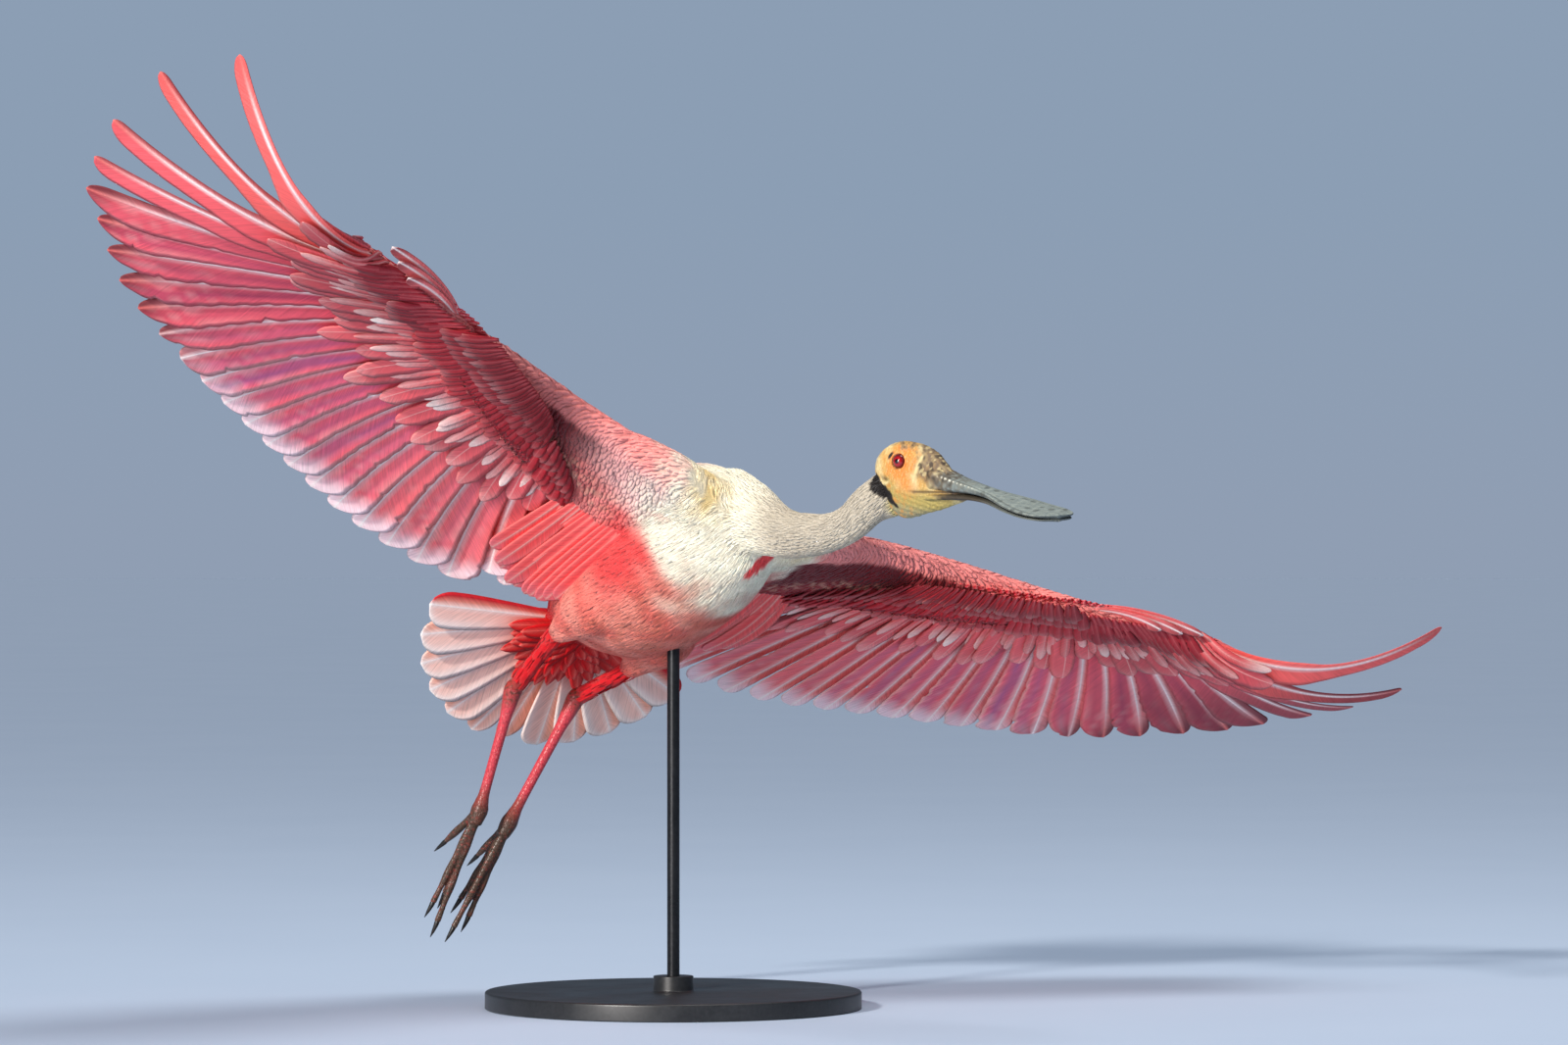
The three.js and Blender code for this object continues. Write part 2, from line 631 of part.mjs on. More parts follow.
function foot(name) {
  const { ankle, joint } = legs[name];
  const heel = mixPoint(ankle, joint, 0.93);
  const start = heel.clone().add(mixPoint(ankle, joint, 1).sub(vec(ankle)).normalize().multiplyScalar(gap));
  const pieces = [tube([[start, 6], [joint, 7.5], [mixPoint(joint, legs[name].tip, 0.12), 6]], 12)];
  for (const toe of toeNames) {
    const { start: from, end } = toePath(name, toe);
    pieces.push(tube([
      [from, 4.6], [from.clone().lerp(end, 0.4), 3.6], [from.clone().lerp(end, 0.48), 4.1],
      [from.clone().lerp(end, 0.8), 2.9], [end, 2.4],
    ], 8));
  }
  return unite(pieces);
}

// Curved claw just past the end of its toe
function claw(name, toe) {
  const { start, end } = toePath(name, toe);
  const along = end.clone().sub(start).normalize();
  const point = (out, drop) => end.clone().addScaledVector(along, out).add(new THREE.Vector3(drop, 0, 0));
  return tube([[point(gap, 0), 2.2], [point(5, 0), 1.9], [point(9, -1), 1.3], [point(12.5, -3), 0.4]], 8);
}

function standBase() {
  const outline = [
    [0, 0], [baseRadius, 0], [baseRadius, baseHeight - baseBevel], [baseRadius - baseBevel, baseHeight],
    [collarRadius, baseHeight], [collarRadius, baseHeight + collarHeight - 1],
    [collarRadius - 1, baseHeight + collarHeight], [rodRadius + gap, baseHeight + collarHeight],
    [rodRadius + gap, baseHeight - rodSocketDepth], [0, baseHeight - rodSocketDepth],
  ];
  return turned(outline, 40);
}

function standRod() {
  const bottom = baseHeight - rodSocketDepth + gap;
  const outline = [[0, bottom], [rodRadius, bottom], [rodRadius, rodTopHeight - 1], [rodRadius - 1, rodTopHeight], [0, rodTopHeight]];
  return turned(outline, 24);
}

// Solid of revolution about Z from an outline that starts and ends on the axis
function turned(outline, sides) {
  const points = [new THREE.Vector3(0, 0, outline[0][1]), new THREE.Vector3(0, 0, outline.at(-1)[1])];
  const rings = outline.slice(1, -1);
  const triangles = [];
  rings.forEach(([radius, z]) => {
    for (let i = 0; i < sides; i++) {
      const angle = (2 * Math.PI * i) / sides;
      points.push(new THREE.Vector3(radius * Math.cos(angle), radius * Math.sin(angle), z));
    }
  });
  const at = (r, i) => 2 + r * sides + (i % sides);
  for (let i = 0; i < sides; i++) {
    triangles.push([0, at(0, i + 1), at(0, i)]);
    for (let r = 0; r + 1 < rings.length; r++) {
      triangles.push([at(r, i), at(r, i + 1), at(r + 1, i + 1)], [at(r, i), at(r + 1, i + 1), at(r + 1, i)]);
    }
    triangles.push([1, at(rings.length - 1, i), at(rings.length - 1, i + 1)]);
  }
  return solid(points, triangles);
}

// Head group in its own frame
const headGroup = new THREE.Group();
headGroup.position.set(...headPlace);
headGroup.quaternion.copy(headQuaternion());
headGroup.add(node('head', head(), colours.skin, 0.6));
headGroup.add(node('bill_upper', billUpper(), colours.bill, 0.45));
headGroup.add(node('bill_lower', billHalf(true), colours.bill, 0.45));
headGroup.add(node('eye_left', ball([0, eyeOut, 0], eyeRadius), colours.eye, 0.1));
headGroup.add(node('eye_right', ball([0, -eyeOut, 0], eyeRadius), colours.eye, 0.1));

const headGrown = headBody(gap).transform(headMatrix.elements.slice());
const neck = neckTube().subtract(headGrown).subtract(torsoCut);

const bird = new THREE.Group();
bird.position.set(bodyOffset[0], bodyOffset[1], bodyHeight);
bird.quaternion.copy(bodyQuaternion());
bird.add(headGroup);
bird.add(node('neck', neck, colours.cream, 0.9));
bird.add(node('torso', torso(), colours.pink, 0.9));
bird.add(node('wing_left', wing(1), colours.rose, 0.8));
bird.add(node('wing_right', wing(-1), colours.rose, 0.8));
bird.add(node('tail', tail(), colours.peach, 0.8));
for (const name of ['left', 'right']) {
  bird.add(node(`shank_${name}`, shank(name), colours.red, 0.6));
  bird.add(node(`tarsus_${name}`, tarsus(name), colours.red, 0.6));
  bird.add(node(`foot_${name}`, foot(name), colours.dark, 0.7));
  for (const toe of toeNames) {
    bird.add(node(`claw_${name}_${toe}`, claw(name, toe), colours.claw, 0.5));
  }
}

const spoonbill = new THREE.Group();
spoonbill.add(node('stand_base', standBase(), colours.stand, 0.4));
spoonbill.add(node('stand_rod', standRod(), colours.stand, 0.4));
spoonbill.add(bird);

export default spoonbill;
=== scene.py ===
import bpy
import numpy as np
from mathutils import Matrix


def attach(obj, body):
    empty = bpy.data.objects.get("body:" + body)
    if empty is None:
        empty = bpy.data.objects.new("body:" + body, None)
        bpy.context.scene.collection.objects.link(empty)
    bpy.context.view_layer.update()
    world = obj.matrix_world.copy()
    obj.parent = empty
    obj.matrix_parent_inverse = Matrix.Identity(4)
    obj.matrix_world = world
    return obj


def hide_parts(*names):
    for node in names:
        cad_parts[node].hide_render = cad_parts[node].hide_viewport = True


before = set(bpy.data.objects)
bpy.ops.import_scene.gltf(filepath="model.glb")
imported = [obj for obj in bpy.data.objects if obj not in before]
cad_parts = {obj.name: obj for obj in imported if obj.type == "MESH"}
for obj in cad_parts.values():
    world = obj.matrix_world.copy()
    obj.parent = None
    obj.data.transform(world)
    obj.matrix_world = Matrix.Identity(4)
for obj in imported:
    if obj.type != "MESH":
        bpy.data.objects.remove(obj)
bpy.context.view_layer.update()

pose = {
    "roll": -22.1, "nose": -22.4, "heading": -46.0, "place": (-10.0, 8.0, 354.0),
    "headRoll": 3.0, "headNose": 13.4, "headHeading": -47.3, "headPlace": (293.0, 10.0, -30.0),
}


def turnMatrix(roll, nose, heading):
    # rotation about x, then y, then z, in degrees
    a, b, c = np.radians([roll, nose, heading])
    aboutX = np.array([[1, 0, 0], [0, np.cos(a), -np.sin(a)], [0, np.sin(a), np.cos(a)]])
    aboutY = np.array([[np.cos(b), 0, np.sin(b)], [0, 1, 0], [-np.sin(b), 0, np.cos(b)]])
    aboutZ = np.array([[np.cos(c), -np.sin(c), 0], [np.sin(c), np.cos(c), 0], [0, 0, 1]])
    return aboutZ @ aboutY @ aboutX


bodyTurn = turnMatrix(pose["roll"], pose["nose"], pose["heading"])
headTurn = turnMatrix(pose["headRoll"], pose["headNose"], pose["headHeading"])


def toWorld(points):
    # body frame millimetres to metres in the room
    return (points @ bodyTurn.T + np.array(pose["place"])) / 1000


def toBody(points):
    # metres in the room back to body frame millimetres
    return (points * 1000 - np.array(pose["place"])) @ bodyTurn


def headToBody(points):
    # the head's own frame is turned against the body's and set at the end of the neck
    return points @ headTurn.T @ bodyTurn + np.array(pose["headPlace"])


def unit(vectors):
    # each vector divided by its length
    return vectors / np.maximum(np.linalg.norm(vectors, axis=-1, keepdims=True), 1e-9)


def sRgb(*channels):
    # display colour 0..255 to linear light
    c = np.array(channels, float) / 255
    return np.where(c < 0.04045, c / 12.92, ((c + 0.055) / 1.055) ** 2.4)


def smooth(low, high, value):
    # 0 below low, 1 above high, with an S between them
    t = np.clip((value - low) / (high - low), 0, 1)
    return t * t * (3 - 2 * t)


def blend(first, second, share):
    # first where share is 0, second where it is 1
    return first + (second - first) * np.asarray(share)[..., None]


def through(keys, t):
    # smooth curve through [position, values...] keys: cubic spans with slopes from each key's neighbours
    keys = np.array(keys, float)
    x, y = keys[:, 0], keys[:, 1:]
    slope = np.empty_like(y)
    slope[0] = (y[1] - y[0]) / (x[1] - x[0])
    slope[-1] = (y[-1] - y[-2]) / (x[-1] - x[-2])
    slope[1:-1] = (y[2:] - y[:-2]) / (x[2:] - x[:-2])[:, None]
    t = np.asarray(t, float)
    k = np.clip(np.searchsorted(x, t, side="right") - 1, 0, len(x) - 2)
    span = x[k + 1] - x[k]
    u = ((t - x[k]) / span)[..., None]
    span = span[..., None]
    value = (2 * u**3 - 3 * u**2 + 1) * y[k] + (u**3 - 2 * u**2 + u) * span * slope[k]
    value = value + (3 * u**2 - 2 * u**3) * y[k + 1] + (u**3 - u**2) * span * slope[k + 1]
    return value[..., 0] if keys.shape[1] == 2 else value


def numbered(rows, count):
    # count places on the smooth curve through rows at positions 0, 1, 2 and so on
    return through([[k, *row] for k, row in enumerate(rows)], np.linspace(0, len(rows) - 1, count))


def ripple(points, size, seed, waves=7):
    # smooth random field of about -1..1: the mean of plane waves in random directions, size apart
    draw = np.random.default_rng(seed)
    directions = unit(draw.normal(size=(waves, 3)))
    phases = draw.uniform(0, 2 * np.pi, waves)
    lengths = size * draw.uniform(0.7, 1.5, waves)
    total = 0
    for direction, phase, length in zip(directions, phases, lengths):
        total = total + np.sin(points @ direction * (2 * np.pi / length) + phase)
    return total / np.sqrt(waves) / 1.2


def stripFaces(count, stations, ring):
    # quads along count strips of stations rings each, with a cap at both ends of every strip
    row = np.arange(stations - 1)[:, None] * ring
    column = np.arange(ring)[None]
    after = (column + 1) % ring
    quads = np.stack([row + column, row + after, row + after + ring, row + column + ring], -1).reshape(-1, 4)
    base = np.arange(count)[:, None, None] * (stations * ring)
    caps = np.stack([np.arange(ring)[::-1], np.arange(ring) + (stations - 1) * ring])
    return [(quads[None] + base).reshape(-1, 4), (caps[None] + base).reshape(-1, ring)]


def rightSideOut(points, faceSets):
    # a closed shell's faces wind outwards when its signed volume is positive
    volume = 0.0
    for faces in faceSets:
        first = points[faces[:, 0]]
        for k in range(1, faces.shape[1] - 1):
            volume += np.einsum("ij,ij->", first, np.cross(points[faces[:, k]], points[faces[:, k + 1]]))
    return [faces[:, ::-1] for faces in faceSets] if volume < 0 else faceSets


def makeObject(name, points, faceSets, materials, tint=None, maps=None, materialIndex=None):
    # points in body millimetres; maps are per-vertex UVs by name
    faceSets = rightSideOut(points, faceSets)
    mesh = bpy.data.meshes.new(name)
    corners = np.concatenate([faces.ravel() for faces in faceSets]).astype(np.int32)
    sizes = np.concatenate([np.full(len(faces), faces.shape[1]) for faces in faceSets])
    starts = np.concatenate([[0], np.cumsum(sizes)[:-1]]).astype(np.int32)
    mesh.vertices.add(len(points))
    mesh.vertices.foreach_set("co", toWorld(points).astype(np.float32).ravel())
    mesh.loops.add(len(corners))
    mesh.loops.foreach_set("vertex_index", corners)
    mesh.polygons.add(len(sizes))
    mesh.polygons.foreach_set("loop_start", starts)
    if materialIndex is not None:
        mesh.polygons.foreach_set("material_index", np.asarray(materialIndex, np.int32))
    mesh.update(calc_edges=True)
    mesh.validate()
    finishMesh(mesh, corners, tint, maps)
    for material in materials:
        mesh.materials.append(material)
    piece = bpy.data.objects.new(name, mesh)
    bpy.context.scene.collection.objects.link(piece)
    return piece


def finishMesh(mesh, corners, tint, maps):
    # colour attribute per vertex and UV maps per corner
    if tint is not None:
        rgba = np.ones((len(mesh.vertices), 4), np.float32)
        rgba[:, :3] = tint
        mesh.attributes.new("tint", "FLOAT_COLOR", "POINT").data.foreach_set("color", rgba.ravel())
    for mapName, values in (maps or {}).items():
        layer = mesh.uv_layers.new(name=mapName)
        layer.data.foreach_set("uv", values[corners].astype(np.float32).ravel())
    mesh.shade_smooth()


def sideName(side):
    # 1 is the bird's left and -1 its right
    return "left" if side > 0 else "right"


def settle(piece, slot, *nodes):
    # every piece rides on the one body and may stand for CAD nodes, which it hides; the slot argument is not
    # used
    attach(piece, "root")
    if nodes:
        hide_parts(*nodes)
    return piece


class Paint:
    # a Principled material with a few short calls for its nodes
    def __init__(self, name, roughness, **sockets):
        self.material = bpy.data.materials.new(name)
        self.material.use_nodes = True
        self.tree = self.material.node_tree
        self.shader = self.tree.nodes["Principled BSDF"]
        self.set(self.shader, **{"Roughness": roughness, **sockets})

    def feed(self, socket, value):
        # a socket takes another node's output or a plain value
        if isinstance(value, bpy.types.NodeSocket):
            self.tree.links.new(value, socket)
        else:
            socket.default_value = value

    def set(self, node, **sockets):
        for key, value in sockets.items():
            self.feed(node.inputs[key.replace("_", " ")], value)

    def add(self, kind, **settings):
        node = self.tree.nodes.new(kind)
        for key, value in settings.items():
            setattr(node, key, value)
        return node

    def tint(self):
        return self.add("ShaderNodeAttribute", attribute_name="tint").outputs["Color"]

    def objectPlace(self):
        return self.add("ShaderNodeTexCoord").outputs["Object"]

    def uv(self, name):
        return self.add("ShaderNodeUVMap", uv_map=name).outputs["UV"]

    def scaled(self, vector, scale):
        node = self.add("ShaderNodeMapping")
        self.set(node, Vector=vector, Scale=scale)
        return node.outputs["Vector"]

    def noise(self, vector, scale, detail=3, roughness=0.55):
        node = self.add("ShaderNodeTexNoise")
        self.set(node, Vector=vector, Scale=scale, Detail=detail, Roughness=roughness)
        return node.outputs["Fac"]

    def cells(self, vector, scale, feature="F1"):
        node = self.add("ShaderNodeTexVoronoi", feature=feature)
        self.set(node, Vector=vector, Scale=scale)
        return node.outputs["Distance"]

    def shaded(self, value):
        # the piece's own tint, made lighter and darker by value
        node = self.add("ShaderNodeVectorMath", operation="SCALE")
        self.tree.links.new(self.tint(), node.inputs[0])
        self.tree.links.new(value, node.inputs["Scale"])
        return node.outputs[0]

    def spread(self, value, low, high, toLow=0.0, toHigh=1.0):
        node = self.add("ShaderNodeMapRange")
        self.set(node, Value=value)
        for socket, number in zip(node.inputs[1:5], (low, high, toLow, toHigh)):
            socket.default_value = number
        return node.outputs["Result"]

    def sum(self, a, b, how="ADD"):
        node = self.add("ShaderNodeMath", operation=how)
        self.feed(node.inputs[0], a)
        self.feed(node.inputs[1], b)
        return node.outputs[0]

    def mixed(self, share, first, second):
        node = self.add("ShaderNodeMix", data_type="RGBA")
        for index, value in zip((0, 6, 7), (share, first, second)):
            self.feed(node.inputs[index], value)
        return node.outputs[2]

    def bump(self, height, strength, distance):
        node = self.add("ShaderNodeBump")
        self.set(node, Height=height, Strength=strength, Distance=distance)
        return node.outputs["Normal"]


featherFinish = {
    "barbAngle": 1.15, "barbsPerMillimetre": 1.5, "streakShade": 0.2, "roughness": 0.62,
    "sheen": 0.04, "bump": 0.35,
}


def featherMaterial(name, finish=featherFinish):
    # tint times barb streaks: the Vane map holds millimetres across and along each feather
    paint = Paint(name, finish["roughness"], Sheen_Weight=finish["sheen"], Specular_IOR_Level=0.22)
    vane = paint.uv("Vane")
    parts = paint.add("ShaderNodeSeparateXYZ")
    paint.tree.links.new(vane, parts.inputs[0])
    across = paint.sum(parts.outputs["X"], 0.0, "ABSOLUTE")
    lag = paint.sum(across, finish["barbAngle"], "MULTIPLY")
    along = paint.sum(parts.outputs["Y"], lag, "SUBTRACT")
    joined = paint.add("ShaderNodeCombineXYZ")
    paint.tree.links.new(paint.sum(along, finish["barbsPerMillimetre"], "MULTIPLY"), joined.inputs["X"])
    paint.tree.links.new(paint.sum(across, 0.08, "MULTIPLY"), joined.inputs["Y"])
    barbs = paint.noise(joined.outputs[0], 1.0, detail=2, roughness=0.6)
    coarse = paint.noise(joined.outputs[0], 0.22, detail=2)
    shade = paint.spread(barbs, 0.3, 0.7, 1 - finish["streakShade"], 1 + finish["streakShade"])
    patch = paint.spread(coarse, 0.3, 0.7, 0.9, 1.12)
    value = paint.sum(shade, patch, "MULTIPLY")
    paint.set(paint.shader, Base_Color=paint.shaded(value), Normal=paint.bump(barbs, finish["bump"], 0.0003))
    return paint.material


flightMaterial = featherMaterial("flightFeather")
softMaterial = featherMaterial(
    "bodyFeather", {**featherFinish, "roughness": 0.8, "sheen": 0.1, "streakShade": 0.12, "bump": 0.15})


def skinMaterial():
    # plumage skin under the coat: the coat's own markings with a fine grain
    paint = Paint("plumageSkin", 0.85, Specular_IOR_Level=0.2)
    place = paint.objectPlace()
    grain = paint.noise(place, 900, detail=4)
    colour = paint.shaded(paint.spread(grain, 0.3, 0.7, 0.72, 0.98))
    paint.set(paint.shader, Base_Color=colour, Normal=paint.bump(grain, 0.6, 0.0006))
    return paint.material


def bareSkinMaterial():
    # bald head skin: fine creases and pits over the tint
    paint = Paint("bareHeadSkin", 0.55, Specular_IOR_Level=0.45)
    place = paint.objectPlace()
    fine = paint.noise(place, 1500, detail=5, roughness=0.65)
    pores = paint.cells(place, 1100)
    speck = paint.noise(place, 700, detail=2)
    colour = paint.shaded(paint.spread(speck, 0.3, 0.7, 0.86, 1.1))
    height = paint.sum(fine, paint.spread(pores, 0.0, 0.6, 0.0, 0.6))
    paint.set(paint.shader, Base_Color=colour, Normal=paint.bump(height, 0.55, 0.0005))
    paint.set(paint.shader, Roughness=paint.spread(fine, 0.3, 0.7, 0.48, 0.66))
    return paint.material


def legMaterial():
    # scutes: cells outlined by dark seams, glossy between
    paint = Paint("legScales", 0.4, Specular_IOR_Level=0.5)
    place = paint.objectPlace()
    scale = paint.cells(paint.scaled(place, (1, 1, 0.8)), 420, "DISTANCE_TO_EDGE")
    seam = paint.spread(scale, 0.0, 0.09)
    grain = paint.noise(place, 900, detail=4)
    patches = paint.spread(grain, 0.3, 0.7, 0.85, 1.12)
    colour = paint.shaded(paint.sum(paint.spread(seam, 0, 1, 0.72, 1.0), patches, "MULTIPLY"))
    height = paint.sum(seam, paint.sum(grain, 0.4, "MULTIPLY"))
    paint.set(paint.shader, Base_Color=colour, Normal=paint.bump(height, 0.6, 0.0004))
    paint.set(paint.shader, Roughness=paint.spread(grain, 0.3, 0.7, 0.3, 0.5))
    return paint.material


def billMaterial():
    # horn: tint with faint lengthwise streaks and pits
    paint = Paint("billHorn", 0.55, Specular_IOR_Level=0.35)
    place = paint.objectPlace()
    mottle = paint.noise(place, 160, detail=5, roughness=0.6)
    fine = paint.noise(place, 1200, detail=4)
    colour = paint.shaded(paint.spread(mottle, 0.3, 0.7, 0.84, 1.12))
    height = paint.sum(fine, mottle)
    paint.set(paint.shader, Base_Color=colour, Normal=paint.bump(height, 0.35, 0.0003))
    paint.set(paint.shader, Roughness=paint.spread(fine, 0.3, 0.7, 0.48, 0.64))
    return paint.material


def eyeMaterial():
    # wet eyeball: tint holds pupil, iris and rim
    paint = Paint("wetEye", 0.08, Coat_Weight=1.0, Coat_Roughness=0.02, IOR=1.38)
    streak = paint.noise(paint.objectPlace(), 1400, detail=2)
    paint.set(paint.shader, Base_Color=paint.shaded(paint.spread(streak, 0.3, 0.7, 0.8, 1.2)))
    return paint.material


def clawMaterial():
    # dark horn with lengthwise wear
    paint = Paint("clawHorn", 0.35)
    grain = paint.noise(paint.objectPlace(), 900, detail=4)
    dark, light = (*sRgb(18, 15, 13), 1), (*sRgb(62, 52, 44), 1)
    paint.set(paint.shader, Base_Color=paint.mixed(paint.spread(grain, 0.45, 0.8), dark, light))
    paint.set(paint.shader, Normal=paint.bump(grain, 0.3, 0.0002))
    return paint.material


def standMaterial(name, roughness, metallic):
    # satin black finish with a faint brushed grain
    paint = Paint(name, roughness, Metallic=metallic)
    place = paint.objectPlace()
    grain = paint.noise(place, 350, detail=5)
    wear = paint.noise(place, 18, detail=4)
    dark, light = (*sRgb(26, 27, 29), 1), (*sRgb(50, 51, 54), 1)
    share = paint.sum(paint.spread(grain, 0.35, 0.75, 0, 0.5), paint.spread(wear, 0.4, 0.7, 0, 0.4))
    paint.set(paint.shader, Base_Color=paint.mixed(share, dark, light))
    paint.set(paint.shader, Roughness=paint.spread(wear, 0.3, 0.7, roughness - 0.07, roughness + 0.1))
    paint.set(paint.shader, Normal=paint.bump(grain, 0.12, 0.0003))
    return paint.material


torso = {
    "stations": [
        [-124, 12, 0, -14], [-112, 30, 14, -26], [-88, 46, 30, -44], [-55, 58, 44, -62], [-15, 65, 54, -72],
        [30, 66, 62, -71], [62, 62, 63, -66], [84, 54, 53, -57], [102, 41, 34, -48], [116, 16, 8, -26],
    ],
    "inset": 2.6,
}
neck = {
    "stations": [
        [84, 0, 4, 44], [106, 0.5, -5.5, 32.5], [132, 1.5, -24.5, 24], [156, 3, -41.5, 20],
        [178, 4, -51, 18.6], [196, 5, -57.6, 17], [216, 6.5, -61, 15.9], [231, 7.7, -59, 15.9],
        [245, 9.6, -51.5, 16.8],
    ],
    "ends": [[-16, 0, -26, 16], [-6, 0, -16, 13]],
    "inset": 1.4,
}
arm = {
    "stations": [
        [120, 36, -4, -62, 36, 8, 42], [126, 75, 4, -44, 70, 6, 34], [114, 110, 19, -12, 104, 8, 27],
        [106, 150, 34, 20, 142, 9, 23], [110, 190, 39, 36, 178, 9, 20], [124, 235, 36, 60, 223, 9, 18],
        [138, 280, 32, 86, 266, 9, 16.5], [154, 312, 25, 112, 302, 10, 16], [164, 345, 22, 128, 343, 11, 15],
        [173, 385, 23, 144, 385, 14, 14], [181, 420, 25, 158, 422, 17, 12], [184, 437, 26, 172, 439, 21, 5],
    ],
    "inset": 1.7,
}
legs = {
    "left": {"root": (-62, 36, -44), "shin": (-86, 35, -50), "ankle": (-143, 30, -52),
             "joint": (-208, 17, -146), "tip": (-262, 7, -224)},
    "right": {"root": (-66, -36, -40), "shin": (-90, -35, -42), "ankle": (-148, -30, -65),
              "joint": (-204, -16, -148), "tip": (-260, -11, -226)},
}
toes = {"outer": (9, 2, 0.86), "middle": (0, 0, 1.0), "inner": (-2, 8, 0.76), "hind": (4, 26, 0.36)}


def ringTube(path, wide, high, sides):
    # rings of sides points round a path of points; wide and high are half axes at each point
    path = np.asarray(path, float)
    along = unit(np.gradient(path, axis=0))
    across = np.stack([-along[:, 1], along[:, 0], np.zeros(len(path))], 1)
    flat = np.linalg.norm(across, axis=1) < 0.05
    across[flat] = (0, 1, 0)
    across = unit(across)
    upward = unit(np.cross(along, across))
    angle = np.linspace(0, 2 * np.pi, sides, endpoint=False)[None, :, None]
    wide = np.broadcast_to(wide, len(path))[:, None, None]
    high = np.broadcast_to(high, len(path))[:, None, None]
    return path[:, None] + across[:, None] * wide * np.cos(angle) + upward[:, None] * high * np.sin(angle)


def torsoRings(count=48, sides=64):
    # ovals along x whose half width, top and bottom follow the stations
    inset = torso["inset"]
    x = np.linspace(-124, 116, count)
    wide, top, bottom = through(torso["stations"], x).T
    angle = np.linspace(0, 2 * np.pi, sides, endpoint=False)[None]
    high = np.maximum((top - bottom) / 2 - inset, 1)[:, None]
    y = np.maximum(wide - inset, 1)[:, None] * np.cos(angle)
    z = ((top + bottom) / 2)[:, None] + high * np.sin(angle)
    xs = np.repeat((x * (1 - inset / 124))[:, None], sides, 1)
    return np.stack([xs, y, z], -1)


def neckLine(count):
    # centre line and radius of the neck, from the chest to inside the head
    ends = np.array(neck["ends"], float)
    inHead = np.concatenate([headToBody(ends[:, :3]), ends[:, 3:]], 1)
    keys = np.concatenate([np.array(neck["stations"], float), inHead])
    place = np.concatenate([[0], np.cumsum(np.linalg.norm(np.diff(keys[:, :3], axis=0), axis=1))])
    return through(np.column_stack([place, keys]), np.linspace(0, place[-1], count))


def armRings(side, count=70, sides=40):
    # aerofoil rings between a front and a rear line, thick in front
    keys = np.array(arm["stations"], float)
    place = np.concatenate([[0], np.cumsum(np.linalg.norm(np.diff(keys[:, :3], axis=0), axis=1))])
    line = through(np.column_stack([place, keys]), np.linspace(0, place[-1], count))
    front, rear, thick = line[:, :3], line[:, 3:6], line[:, 6]
    inset = arm["inset"]
    chord = rear - front
    front = front + unit(chord) * inset
    chord = chord - unit(chord) * inset * 2
    upward = np.array([0, 0, 1.0]) - chord * (chord[:, 2] / (chord**2).sum(1))[:, None]
    upward = unit(upward)
    angle = np.linspace(0, 2 * np.pi, sides, endpoint=False)
    high = np.maximum(thick / 2 - inset, 0.8)[:, None] * np.sin(angle) * (1 + 0.4 * np.cos(angle))
    run = (0.5 - 0.5 * np.cos(angle))[None, :, None]
    rings = front[:, None] + chord[:, None] * run + upward[:, None] * high[..., None]
    rings[..., 1] *= side
    return rings


def gathered(parts):
    # several ring grids as one list of points and faces
    points, faceSets, offset = [], [], 0
    for rings in parts:
        faces = rightSideOut(rings.reshape(-1, 3), stripFaces(1, *rings.shape[:2]))
        points.append(rings.reshape(-1, 3))
        faceSets += [part + offset for part in faces]
        offset += rings.shape[0] * rings.shape[1]
    return np.concatenate(points), faceSets


def fused(name, parts, voxel, rounds):
    # overlapping shells grown into one closed surface on a grid of voxels, then relaxed
    points, faceSets = gathered(parts)
    rough = makeObject(name + "Rough", points, faceSets, [])
    remesh = rough.modifiers.new("grid", "REMESH")
    remesh.mode = "VOXEL"
    remesh.voxel_size = voxel / 1000
    relax = rough.modifiers.new("relax", "SMOOTH")
    relax.factor = 0.5
    relax.iterations = rounds
    depsgraph = bpy.context.evaluated_depsgraph_get()
    mesh = bpy.data.meshes.new_from_object(rough.evaluated_get(depsgraph))
    co = np.empty(len(mesh.vertices) * 3, np.float32)
    mesh.vertices.foreach_get("co", co)
    corners = np.empty(len(mesh.loops), np.int32)
    mesh.loops.foreach_get("vertex_index", corners)
    sizes = np.empty(len(mesh.polygons), np.int32)
    mesh.polygons.foreach_get("loop_total", sizes)
    old = rough.data
    bpy.data.objects.remove(rough)
    bpy.data.meshes.remove(old)
    bpy.data.meshes.remove(mesh)
    faceSets = [corners.reshape(-1, 4)] if (sizes == 4).all() else splitBySize(corners, sizes)
    return toBody(co.reshape(-1, 3).astype(float)), faceSets


def splitBySize(corners, sizes):
    # one array of faces for each number of corners
    starts = np.concatenate([[0], np.cumsum(sizes)[:-1]])
    return [corners[starts[sizes == n][:, None] + np.arange(n)] for n in np.unique(sizes)]


filler = {
    "rump": [
        [-88, 0, -6, 26, 16], [-108, 0, -11, 33, 15], [-124, 0, -19, 33, 11], [-136, 0, -25, 26, 8],
        [-144, 0, -29, 12, 4],
    ],
    "rumpInset": 2.5,
    "hip": (-8, 34, -34),
    "shoulder": [[0, 92, 14, -6, 33], [1, 100, 46, -2, 23], [2, 106, 78, 5, 17.5], [3, 99, 112, 17, 13.5]],
    "throat": [[-34, 0, -50, 7], [-16, 0, -42, 9.8], [-4, 0, -38.5, 7.4], [8, 0, -35, 4.5]],
}


def thighRings(side):
    # feathered thigh bulging from the flank to the bare shin
    leg = legs[sideName(side)]
    root, shin = np.array(leg["root"], float), np.array(leg["shin"], float)
    hip = filler["hip"] * np.array([1.0, side, 1.0])
    keys = [
        [0, *hip, 10, 10], [1, *(hip + (root - hip) * 0.3), 22, 24],
        [2, *(hip + (root - hip) * 0.7), 21.5, 22.5], [3, *root, 15.5, 15.5], [4, *shin, 7.6, 7.6],
    ]
    line = through(keys, np.linspace(0, 4, 24))
    return ringTube(line[:, :3], line[:, 3], line[:, 4], 32)


